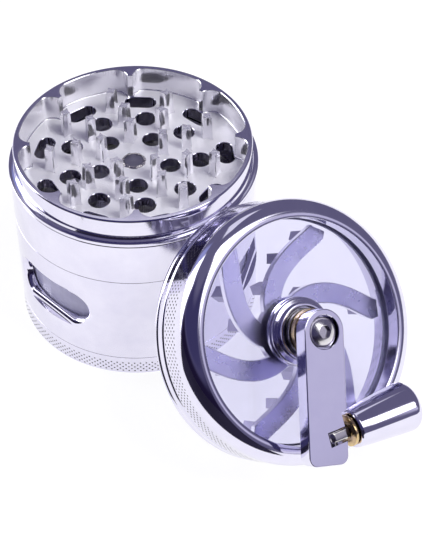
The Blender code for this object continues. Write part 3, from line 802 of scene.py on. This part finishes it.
def make_mesh_screen():
    """Plain weave: each wire passes over and under the wires that cross it."""
    middle = SCREEN_LEDGE + GAP + 0.2
    reach = SCREEN_R - 0.05
    count = int(reach / WIRE_PITCH)
    verts, faces = [], []
    corners = (0, math.tau / 3, -math.tau / 3)
    section = [(WIRE_R * math.sin(a), WIRE_R * math.cos(a)) for a in corners]
    for family in (0, 1):
        for line in range(-count, count + 1):
            across = line * WIRE_PITCH
            half = int(math.sqrt(max(reach**2 - across**2, 0)) / WIRE_PITCH)
            if half < 1:
                continue
            first = len(verts)
            for crossing in range(-half, half + 1):
                side = 1 if (crossing + line + family) % 2 else -1
                lift = side * WIRE_R * 0.95
                for sideways, up in section:
                    x, y = across + sideways, crossing * WIRE_PITCH
                    if family:
                        x, y = y, x
                    verts.append((x * MM, y * MM, (middle + lift + up) * MM))
            for crossing in range(2 * half):
                base = first + 3 * crossing
                for side in range(3):
                    after = (side + 1) % 3
                    quad = (base + side, base + after, base + after + 3, base + side + 3)
                    faces.append(quad if family else quad[::-1])
            end = first + 6 * half
            caps = ((first, first + 1, first + 2), (end + 2, end + 1, end))
            faces += caps if not family else [cap[::-1] for cap in caps]
    mesh = bpy.data.meshes.new("wire_cloth")
    mesh.from_pydata(verts, [], faces)
    cloth = bpy.data.objects.new("wire_cloth", mesh)
    bpy.context.scene.collection.objects.link(cloth)
    show(cloth, "sieve_carrier", "steel_mesh", WIRE, instead_of="mesh_screen", sharp=180)
    sizes = (SCREEN_R, SCREEN_R - 1.1, middle - 0.2, middle + 0.2)
    rim = turned_ring("wire_cloth_rim", *sizes, STACK, ROUND, 0.08)
    show(rim, "sieve_carrier", "steel_mesh", WIRE)


POCKET_R = 28.9
CUSP_COUNT = 8
CUSP_FILLET = 3.4
CUSP_HALF_WIDTH = 0.6
TOOTH_TOP = 52.8
TOOTH_TURN = 20  # degrees between a tooth's long diagonal and its ring
TOOTH_NARROWING = 0.78
# How many, how far out, the angle of the first, the length and the width
HOLE_RINGS = (
    (5, 9.5, 58.0, 5.1, 5.1),
    (9, 16.9, 37.7, 5.4, 5.4),
    (9, 23.5, 3.9, 8.2, 4.2),
)
TOOTH_RINGS = ((5, 8.2, 22.0), (9, 14.4, 17.5), (9, 21.0, 23.9))  # the first three of those
MAGNET_R = 2.5


def scallop_outline():
    """Round pockets that meet in narrow cusps, anticlockwise."""
    side = CUSP_HALF_WIDTH + CUSP_FILLET
    inward = POCKET_R - CUSP_FILLET
    centre = (math.sqrt(inward**2 - side**2), side)
    edge_angle = math.degrees(math.atan2(centre[1], centre[0]))
    half = arc(centre, CUSP_FILLET, -80, edge_angle, 12)
    pocket = 360 / CUSP_COUNT
    outline = []
    for index in range(CUSP_COUNT):
        turn = about_z(index * pocket)
        cusp = [(x, -y) for x, y in reversed(half)] + half
        outline += [(turn @ Vector((x, y, 0))).xy[:] for x, y in cusp]
        first = index * pocket + edge_angle
        outline += arc((0, 0), POCKET_R, first, first + pocket - 2 * edge_angle, 12)[1:-1]
    return outline


def tooth_outline(size):
    """A diamond with hollow sides and blunt corners."""
    corners = arc((0, 0), size, 0, 270, 3)
    outline = []
    for index, corner in enumerate(corners):
        here, after = Vector(corner), Vector(corners[(index + 1) % 4])
        along = (after - here).normalized()
        inward = Vector((-along.y, along.x))
        span = (after - here).length
        for share, hollow in ((0.07, 0.0), (0.3, 0.1), (0.5, 0.14), (0.7, 0.1), (0.93, 0.0)):
            outline.append((here + along * span * share + inward * hollow * size)[:])
    return outline


def chamber_teeth():
    """Tapered teeth in three rings, each spreading a little at its foot."""
    bm = bmesh.new()
    levels = (
        (2.5, CHAMBER_FLOOR - 0.6),
        (2.3, CHAMBER_FLOOR + 0.15),
        (2.02, CHAMBER_FLOOR + 0.6),
        (1.78, TOOTH_TOP - 0.12),
        (1.66, TOOTH_TOP),
    )
    sections = [(tooth_outline(size), height) for size, height in levels]
    for count, radius, first in TOOTH_RINGS:
        for index in range(count):
            turn = about_z(first + index * 360 / count)
            place = turn @ Matrix.Translation((radius, 0, 0)) @ about_z(TOOTH_TURN)
            prism(bm, sections, place @ Matrix.Diagonal((TOOTH_NARROWING, 1, 1, 1)))
    return as_object("teeth", bm)


def chamber_holes(low):
    """The holes and slots of the floor and the magnet's seat, chamfered at the floor."""
    bm = bmesh.new()
    high = CHAMBER_FLOOR
    for count, radius, first, length, width in HOLE_RINGS:
        for index in range(count):
            angle = first + index * 360 / count
            place = about_z(angle) @ Matrix.Translation((radius, 0, 0)) @ about_z(90)
            sections = [
                (stadium(length + 2 * grow + 0.001, width + 2 * grow, 12), height)
                for grow, height in ((0, low), (0, high - 0.12), (0.12, high), (0.6, high + 0.5))
            ]
            prism(bm, sections, place)
    rod(bm, MAGNET_R + 0.25, CHAMBER_FLOOR - 2.0, CHAMBER_FLOOR + 1)
    return as_object("holes", bm)


def make_chamber():
    under = CHAMBER_FLOOR - 2.4
    flange_low = FLANGE_TOP - 1.1
    skirt_low = flange_low - SPIGOT_LENGTH - GAP + 0.1
    wall = soften(
        [
            (POCKET_R - 2.2, RIM_TOP),
            (COLLAR_R - 0.3, RIM_TOP),
            (COLLAR_R, RIM_TOP - 0.35),
            (COLLAR_R, FLANGE_TOP + 0.9),
            (COLLAR_R + 0.25, FLANGE_TOP + 0.3),
            (COLLAR_R + 0.8, FLANGE_TOP + 0.05),
            (FLANGE_R, FLANGE_TOP),
            (FLANGE_R, flange_low),
            (SPIGOT_R, flange_low),
            (SPIGOT_R, flange_low - 0.3),
        ],
        0.24,
    )[3:-4]
    profile = [(0, RIM_TOP)] + wall
    profile += [(SPIGOT_R, height) for height in rows(flange_low - 0.3, skirt_low + 0.4, 16)]
    profile += soften(
        [
            (SPIGOT_R, skirt_low + 0.4),
            (SPIGOT_R - 0.4, skirt_low),
            (INNER_R, skirt_low),
            (INNER_R, under),
            (0, under),
        ],
        0.2,
    )[:-4]
    profile += [(0, under)]
    shape = thread(skirt_low + 0.5, flange_low - 0.4, True)
    chamber = lathe("grinding_chamber_finish", profile, 192, shape=shape)
    outline = scallop_outline()
    levels = [(0.5, 0.0), (0.29, 0.05), (0.14, 0.15), (0.04, 0.31), (0.0, 0.5)]
    sections = [(offset(outline, -inset), CHAMBER_FLOOR + rise) for inset, rise in levels]
    sections += [(outline, RIM_TOP - 0.18), (offset(outline, 0.18), RIM_TOP)]
    sections += [(offset(outline, 0.18), RIM_TOP + 1)]
    cut(chamber, solid("cavity", prism, sections))
    cut(chamber, chamber_teeth(), "UNION")
    cut(chamber, chamber_holes(under - 1))
    finishes = (CHROME, SATIN, CAST)
    show(chamber, "chamber", "cast_zinc", *finishes, instead_of="grinding_chamber", sharp=28)
    for face in chamber.data.polygons:
        middle = face.center / MM
        radius = math.hypot(middle.x, middle.y)
        inside = radius < POCKET_R + 0.2 and middle.z < RIM_TOP - 0.01
        flat = abs(face.normal.z) > 0.9
        if inside and middle.z > CHAMBER_FLOOR - 0.01:
            face.material_index = 2 if flat and middle.z < CHAMBER_FLOOR + 1 else 1
    low, high = CHAMBER_FLOOR - 1.7, CHAMBER_FLOOR + 0.2
    magnet = solid("chamber_magnet_finish", rod, MAGNET_R, low, high, edge=0.15)
    show(magnet, "chamber_carrier", "magnet", MAGNET, instead_of="chamber_magnet")
    make_magnet_burr()


def make_magnet_burr():
    """The casting is peened over the magnet's edge, which leaves a ragged bright ring."""

    def ragged(angle, radius, height):
        wave = math.sin(angle * 7) + 0.7 * math.sin(angle * 13 + 1) + 0.6 * math.sin(angle * 23 + 2)
        return radius + 0.09 * wave * (1 if radius > 2.6 else -1)

    profile = soften([(2.35, 46.32), (2.75, 46.36), (3.15, 46.05), (3.0, 45.9), (2.7, 45.9)], 0.08)
    burr = lathe("magnet_peening", profile, 96, shape=ragged)
    show(burr, "chamber", "cast_zinc", BRIGHT)


# ---------------------------------------------------------------- the lid


def lid_frames():
    """The frames of the lid, the crank and the knob, from the joints' places and axes."""
    turn, fold, spin = JOINTS["crank_turn"], JOINTS["knob_fold"], JOINTS["knob_spin"]
    out = Vector(turn["axis"]).normalized()
    across = Vector((0, 0, 1)).cross(out).normalized()
    lid = Matrix.Translation(turn["pos_m"])
    lid = lid @ Matrix((across, out.cross(across), out)).transposed().to_4x4()
    along = Vector(spin["axis"]).normalized()
    knob = Matrix.Translation(fold["pos_m"])
    knob = knob @ Matrix((out, along.cross(out), along)).transposed().to_4x4()
    return lid, lid @ about_z(CRANK_ANGLE), knob


def in_mm(matrix):
    """The same placing for points still in millimetres, which as_object scales afterwards."""
    made = matrix.copy()
    made.translation = matrix.translation / MM
    return made


LID, CRANK, KNOB = lid_frames()
LID_MM, CRANK_MM, KNOB_MM = in_mm(LID), in_mm(CRANK), in_mm(KNOB)
BEZEL_INNER_R = 27.2
BEZEL_CURVE_R = 28.3
BEZEL_DROP = 4.0
GLASS_R = 28.3
GLASS_TOP = -4.0
GLASS_THICKNESS = 1.8
GLASS_BORE = 28.6
MOUTH_BORE = 30.5
MOUTH_STEP = -9.9
GROOVES = (-11.38, -14.27)
GROOVE_DEPTH = 0.35
GROOVE_HALF_WIDTH = 0.43
RETAINER_INNER_R = 27.0
BUSH_R = 4.0
BUSH_NUT_R = 6.2
BUSH_NUT_BORE_R = 4.3
BUSH_END = -8.0
SHAFT_BORE_R = 2.3
STEEL_WASHER = (5.75, 0.0, 2.0)  # radius, bottom and top
BRASS_WASHER = (5.6, 2.4, 4.15)


def make_lid_shell():
    bezel = [
        (
            BEZEL_CURVE_R + (LID_R - BEZEL_CURVE_R) * math.sin(math.radians(a)),
            -BEZEL_DROP * (1 - math.cos(math.radians(a))),
        )
        for a in range(0, 91, 6)
    ]
    profile = [(BEZEL_INNER_R + 0.25, 0), *bezel]
    profile += [(LID_R, height) for height in knurl_heights(LID_KNURL)]
    for z in GROOVES:
        profile += [
            (LID_R, z + GROOVE_HALF_WIDTH + 0.1),
            (LID_R - 0.03, z + GROOVE_HALF_WIDTH),
            (LID_R - GROOVE_DEPTH, z),
            (LID_R - 0.03, z - GROOVE_HALF_WIDTH),
            (LID_R, z - GROOVE_HALF_WIDTH - 0.1),
        ]
    profile += [
        (LID_R, -LID_DEPTH + 0.3),
        (LID_R - 0.1, -LID_DEPTH + 0.1),
        (LID_R - 0.3, -LID_DEPTH),
        (MOUTH_BORE + 0.3, -LID_DEPTH),
        (MOUTH_BORE + 0.1, -LID_DEPTH + 0.1),
        (MOUTH_BORE, -LID_DEPTH + 0.3),
        (MOUTH_BORE, MOUTH_STEP - 0.1),
        (MOUTH_BORE - 0.1, MOUTH_STEP),
        (GLASS_BORE, MOUTH_STEP),
        (GLASS_BORE, GLASS_TOP + GAP),
        (BEZEL_INNER_R, GLASS_TOP + GAP),
        (BEZEL_INNER_R, -0.25),
        (BEZEL_INNER_R + 0.07, -0.07),
    ]
    pits = knurl(LID_KNURL, LID_R)
    shell = lathe("lid_shell_finish", profile, matrix=LID, shape=pits, angles=KNURL_ANGLES)
    # The second material is the painted shade in the knurl's pits
    show(shell, "lid", "polished_zinc", CHROME, PIT_SHADE, instead_of="lid_shell", sharp=34)
    paint_pit_shade(shell, LID, LID_R, LID_KNURL[0] - 0.1, LID_KNURL[-1] + 0.1)


def make_lid_window():
    low = GLASS_TOP - GLASS_THICKNESS
    sizes = (GLASS_R, BUSH_NUT_BORE_R, low, GLASS_TOP)
    window = turned_ring("lid_window_finish", *sizes, LID, ROUND, 0.12)
    show(window, "lid", "clear_plastic", CLEAR, instead_of="lid_window")
    top = low - GAP
    sizes = (GLASS_R, RETAINER_INNER_R, top - 1.0, top)
    retainer = turned_ring("window_retainer_finish", *sizes, LID, ROUND, 0.2)
    show(retainer, "lid", "gasket", GASKET, instead_of="window_retainer")


def make_hub():
    """The bush's steps widen down to the window; its neck goes through the window to the nut."""
    steps = [(6.15, 0.5), (6.85, 0.5), (6.95, -1.1), (7.9, -1.15), (8.25, -1.4), (8.25, -1.85)]
    steps += [(7.75, -2.1), (7.75, -2.45), (8.35, -2.65), (8.35, GLASS_TOP + GAP)]
    neck = [(BUSH_R, GLASS_TOP + GAP), (BUSH_R, BUSH_END), (SHAFT_BORE_R, BUSH_END)]
    seat = [(SHAFT_BORE_R, -0.3), (6.05, -0.3)]
    bush = lathe("hub_bush_finish", soften(steps + neck + seat, 0.12), 96, LID)
    show(bush, "lid", "polished_zinc", CHROME, instead_of="hub_bush")
    nut_top = GLASS_TOP - GLASS_THICKNESS - GAP
    nut = turned_ring("bush_nut_finish", BUSH_NUT_R, BUSH_NUT_BORE_R, BUSH_END, nut_top, LID)
    low, high = (-8, -0.7, BUSH_END - 1), (8, 0.7, BUSH_END + 0.8)
    cut(nut, solid("spanner_slots", box, low, high, LID_MM))
    show(nut, "lid", "steel", STEEL, instead_of="bush_nut")
    outer, low, high = STEEL_WASHER
    washer = turned_ring("steel_washer_finish", outer, SHAFT_BORE_R, low, high, CRANK, edge=0.25)
    show(washer, "crank", "steel", STEEL, instead_of="steel_washer")
    outer, low, high = BRASS_WASHER
    washer = turned_ring("brass_washer_finish", outer, SHAFT_BORE_R, low, high, CRANK, edge=0.35)
    show(washer, "crank", "brass", BRASS, instead_of="brass_washer")


ROTOR_ARMS = 6
ROTOR_TIP_R = 26.4
ROTOR_TIP_ANGLE = 44.0
ROTOR_TOP = -7.3
ROTOR_PLATE = 2.0
ROTOR_TOOTH_END = -16.0
ROTOR_TEETH = ((11.3, 2.3), (17.7, 2.5), (24.1, 2.2))  # how far out each one is, and its width
ROTOR_TOOTH_HALF = 1.5
ROTOR_ARM_HALF = 2.5
ROTOR_ARM_SWEEP = 70  # degrees that an arm turns back from its tip to its root
ROTOR_ROOT_R = 7.2
ROTOR_HUB_R = 8.4
ROTOR_BOSS_R = 5.9
ROTOR_BOSS_END = -11.0
NUT_RECESS_R = 6.6
NUT_RECESS_FLOOR = -8.3
SHAFT_R = 1.95
SHAFT_END = -9.7


def arm_angle(radius):
    """How far round an arm's middle lies from its tip, at a radius."""
    share = (ROTOR_TIP_R - radius) / (ROTOR_TIP_R - 5)
    return ROTOR_ARM_SWEEP * max(share, 0) ** 1.5


def on_circle(radius, degrees):
    return Vector(
        (radius * math.cos(math.radians(degrees)), radius * math.sin(math.radians(degrees)))
    )


def rotor_outline(grow=0.0):
    """The whole plate: six curved arms round the hub."""
    count = 22

    def edge(radius, side):
        here = on_circle(radius, arm_angle(radius))
        ahead = on_circle(radius + 0.05, arm_angle(radius + 0.05))
        along = (ahead - here).normalized()
        return here + Vector((-along.y, along.x)) * side * (ROTOR_ARM_HALF + grow)

    reach = ROTOR_TIP_R - 0.9
    radii = [ROTOR_ROOT_R + (reach - ROTOR_ROOT_R) * i / count for i in range(count + 1)]
    outline = []
    for index in range(ROTOR_ARMS):
        turn = Matrix.Rotation(math.radians(ROTOR_TIP_ANGLE + index * 360 / ROTOR_ARMS), 2)
        one = [edge(radius, -1) for radius in radii]
        one += [on_circle(ROTOR_TIP_R + grow, a) for a in (-3.6, -1.5, 1, 3)]
        one += [edge(radius, 1) for radius in reversed(radii)]
        outline += [(turn @ point)[:] for point in one]
    return outline


def make_rotor():
    under = ROTOR_TOP - ROTOR_PLATE
    profile = [
        (NUT_RECESS_R, ROTOR_TOP),
        (ROTOR_HUB_R, ROTOR_TOP),
        (ROTOR_HUB_R, under),
        (ROTOR_BOSS_R, under),
        (ROTOR_BOSS_R, ROTOR_BOSS_END),
        (MAGNET_R + GAP, ROTOR_BOSS_END),
        (MAGNET_R + GAP, SHAFT_END - 0.2),
        (SHAFT_R + GAP, SHAFT_END - 0.2),
        (SHAFT_R + GAP, NUT_RECESS_FLOOR),
        (NUT_RECESS_R, NUT_RECESS_FLOOR),
    ]
    rotor = lathe("rotor_finish", soften(profile), 96, LID)
    low, high = under + 0.02, ROTOR_TOP - 0.02
    levels = [(-0.12, low), (0.0, low + 0.15), (0.0, high - 0.22), (-0.2, high)]
    sections = [(rotor_outline(grow), height) for grow, height in levels]
    star = solid("rotor_star", prism, sections, LID_MM)
    middle_r = (NUT_RECESS_R + ROTOR_HUB_R) / 2
    cut(star, solid("star_middle", rod, middle_r, under - 1, ROTOR_TOP + 1, LID_MM, 96))
    cut(rotor, star, "UNION")
    teeth = bmesh.new()
    for index in range(ROTOR_ARMS):
        for radius, width in ROTOR_TEETH:
            angle = ROTOR_TIP_ANGLE + index * 360 / ROTOR_ARMS + arm_angle(radius)
            place = LID_MM @ about_z(angle) @ Matrix.Translation((radius, 0, 0))
            sections = []
            for inset, height in (
                (0.15, ROTOR_TOOTH_END),
                (0, ROTOR_TOOTH_END + 0.15),
                (0, under + 0.5),
            ):
                w, d = width / 2 - inset, ROTOR_TOOTH_HALF - inset
                sections.append(([(-w, -d), (w, -d), (w, d), (-w, d)], height))
            prism(teeth, sections, place)
    cut(rotor, as_object("teeth", teeth), "UNION")
    show(rotor, "crank", "cast_zinc", ROTOR, TOOTH_SHADE, instead_of="rotor", sharp=25)
    # The faces below the plate, the teeth, take the painted shade
    to_lid = LID.inverted()
    for face in rotor.data.polygons:
        if (to_lid @ face.center).z < (under - 0.3) * MM:
            face.material_index = 1
    low, high = ROTOR_BOSS_END - 0.1, SHAFT_END - 0.5
    magnet = solid("rotor_magnet_finish", rod, MAGNET_R, low, high, CRANK_MM, edge=0.12)
    show(magnet, "crank", "magnet", MAGNET, instead_of="rotor_magnet")


ARM_HALF_WIDTH = 5.45
ARM_END = -31.3
ARM_CORNER_R = 2.2
ARM_BACK = 4.5
ARM_FRONT = 8.5
ARM_EDGE = 0.28
COUNTERBORE_R = 4.0
COUNTERBORE_DEPTH = 1.6
SHAFT_SQUARE = 2.7
SHAFT_SQUARE_END = 6.6
SCREW_R = 3.62
SCREW_DOME = 1.6
SCREW_DOME_FOOT = 7.35
SCREW_SHANK_R = 0.75
SOCKET_TURN = 8  # degrees that the hexagon stands turned from the arm
PIN_HOLE_R = 1.0
PIN_R = 0.7


def along_pin():
    """The frame whose Z runs along the knob's fold pin."""
    return KNOB_MM @ Matrix.Rotation(math.radians(-90), 4, "X")


def make_crank_arm():
    right = ARM_HALF_WIDTH - ARM_CORNER_R
    foot = ARM_END + ARM_CORNER_R
    outline = arc((0, 0), ARM_HALF_WIDTH, 0, 180, 48)
    outline += arc((-right, foot), ARM_CORNER_R, 180, 270, 12)
    outline += arc((right, foot), ARM_CORNER_R, 270, 360, 12)
    levels = [
        (-ARM_EDGE, ARM_BACK),
        (-0.08, ARM_BACK + 0.08),
        (0.0, ARM_BACK + ARM_EDGE),
        (0.0, ARM_FRONT - ARM_EDGE),
        (-0.08, ARM_FRONT - 0.08),
        (-ARM_EDGE, ARM_FRONT),
    ]
    sections = [(offset(outline, grow), height) for grow, height in levels]
    arm = solid("crank_arm_finish", prism, sections, CRANK_MM)
    bore, mouth = circle(COUNTERBORE_R, SMALL), circle(COUNTERBORE_R + 0.15, SMALL)
    sections = [(bore, ARM_FRONT - COUNTERBORE_DEPTH), (bore, ARM_FRONT - 0.15)]
    sections += [(mouth, ARM_FRONT), (mouth, ARM_FRONT + 1)]
    cut(arm, solid("counterbore", prism, sections, CRANK_MM))
    half = SHAFT_SQUARE / 2 + GAP
    low, high = (-half, -half, ARM_BACK - 1), (half, half, ARM_FRONT)
    cut(arm, solid("square_hole", box, low, high, CRANK_MM))
    cut(arm, solid("tab_slot", box, (-4, -1.8, -2.1), (4, 1.8, 6), KNOB_MM))
    cut(arm, solid("knob_notch", box, (-4, -5.2, 2.9), (4, 7.5, 14), KNOB_MM))
    cut(arm, solid("pin_hole", rod, PIN_HOLE_R, -4.2, 9, along_pin()))
    show(arm, "crank", "polished_zinc", CHROME, instead_of="crank_arm", sharp=40)


def make_shaft_and_screw():
    shaft = solid("shaft_finish", rod, SHAFT_R, SHAFT_END, ARM_BACK - GAP, CRANK_MM, edge=0.2)
    half = SHAFT_SQUARE / 2
    low, high = (-half, -half, ARM_BACK - 2), (half, half, SHAFT_SQUARE_END)
    cut(shaft, solid("shaft_square", box, low, high, CRANK_MM), "UNION")
    cut(shaft, solid("shaft_thread", rod, SCREW_SHANK_R + GAP, -1.0, 8.0, CRANK_MM, 32))
    show(shaft, "crank", "steel", STEEL, instead_of="shaft")

    seat = ARM_FRONT - COUNTERBORE_DEPTH + GAP
    profile = [(0, SCREW_DOME_FOOT + SCREW_DOME)]
    for a in range(9, 91, 9):
        rise = SCREW_DOME * math.cos(math.radians(a))
        profile.append((SCREW_R * math.sin(math.radians(a)), SCREW_DOME_FOOT + rise))
    profile += [(SCREW_R, seat + 0.15), (SCREW_R - 0.12, seat), (SCREW_SHANK_R, seat)]
    profile += [(SCREW_SHANK_R, 0.1), (SCREW_SHANK_R - 0.1, 0.0), (0, 0.0)]
    screw = lathe("crank_screw_finish", profile, SMALL, CRANK)
    socket, mouth = circle(1.65, 6), circle(1.85, 6)
    sections = [(socket, 7.9), (socket, 8.72), (mouth, 8.85), (mouth, 10)]
    cut(screw, solid("hex_socket", prism, sections, CRANK_MM @ about_z(SOCKET_TURN)))
    show(screw, "crank", "steel", SCREW, instead_of="crank_screw")


def make_knob_stud():
    half_height, half_width, tab_end = 1.7, 1.45, 3.9
    side = [(half_height, tab_end), *arc((0, 0), half_height, 0, -180, 24), (-half_height, tab_end)]
    # The outline runs clockwise across the pin, so X and Z of the knob are its plane
    plane = KNOB_MM @ Matrix(((1, 0, 0, 0), (0, 0, -1, 0), (0, 1, 0, 0), (0, 0, 0, 1)))
    rolled = ((-0.7, 0), (-0.32, 0.1), (-0.1, 0.32), (0, 0.7))
    levels = [(grow, depth - half_width) for grow, depth in rolled]
    levels += [(grow, half_width - depth) for grow, depth in reversed(rolled)]
    sections = [(offset(side, -grow), height) for grow, height in levels]
    stud = solid("knob_stud_finish", prism, sections, plane)
    cut(stud, solid("stem", rod, 1.4, 3.0, 18.5, KNOB_MM, edge=0.15), "UNION")
    cut(stud, solid("tab_hole", rod, PIN_HOLE_R, -4, 4, along_pin()))
    show(stud, "knob_stud", "steel", BRIGHT, instead_of="knob_stud")

    pin = solid("fold_pin_finish", rod, PIN_R, -3.8, 6.0, along_pin(), edge=0.12)
    show(pin, "crank", "steel", STEEL, instead_of="fold_pin")
    washer = turned_ring("knob_washer_finish", 3.9, KNOB_BORE_R, 4.2, 5.1, KNOB, edge=0.22)
    show(washer, "knob_stud", "brass", BRASS, instead_of="knob_washer")


KNOB_BORE_R = 1.75
KNOB_BORE_END = 19.0
KNOB_START = 5.4
KNOB_END = 23.4
KNOB_TIP_R = 6.2
KNOB_BASE_R = 4.75
KNOB_NOSE_R = 2.0


def make_knob():
    nose = arc((KNOB_TIP_R - KNOB_NOSE_R, KNOB_END - KNOB_NOSE_R), KNOB_NOSE_R, 90, 4, 12)
    profile = [
        (KNOB_BORE_R, KNOB_START),
        (KNOB_BORE_R, KNOB_BORE_END),
        (0, KNOB_BORE_END),
        (0, KNOB_END),
        *nose,
        (KNOB_TIP_R - 0.02, KNOB_END - 2.6),
        (KNOB_TIP_R - 0.35, 16.5),
        (KNOB_BASE_R + 0.5, 10.0),
        (KNOB_BASE_R + 0.02, KNOB_START + 0.7),
        (KNOB_BASE_R - 0.1, KNOB_START + 0.25),
        (KNOB_BASE_R - 0.35, KNOB_START),
    ]
    knob = lathe("knob_finish", profile, 120, KNOB)
    show(knob, "knob", "polished_zinc", CHROME, instead_of="knob")


def dress_plain_nodes():
    """The pieces whose CAD shape is already right."""
    for name, finish in (("window_sleeve", SMOKED), ("screen_ring", STEEL)):
        materials = frame["nodes"][name].data.materials
        materials.clear()
        materials.append(finish)


add_camera()
add_world()
add_key_light()
add_dark_card()
add_floor()
make_tray()
make_window_ring()
make_sieve_ring()
make_mesh_screen()
make_chamber()
make_lid_shell()
make_lid_window()
make_hub()
make_rotor()
make_crank_arm()
make_shaft_and_screw()
make_knob_stud()
make_knob()
dress_plain_nodes()
bpy.context.scene.view_settings.view_transform = "Standard"
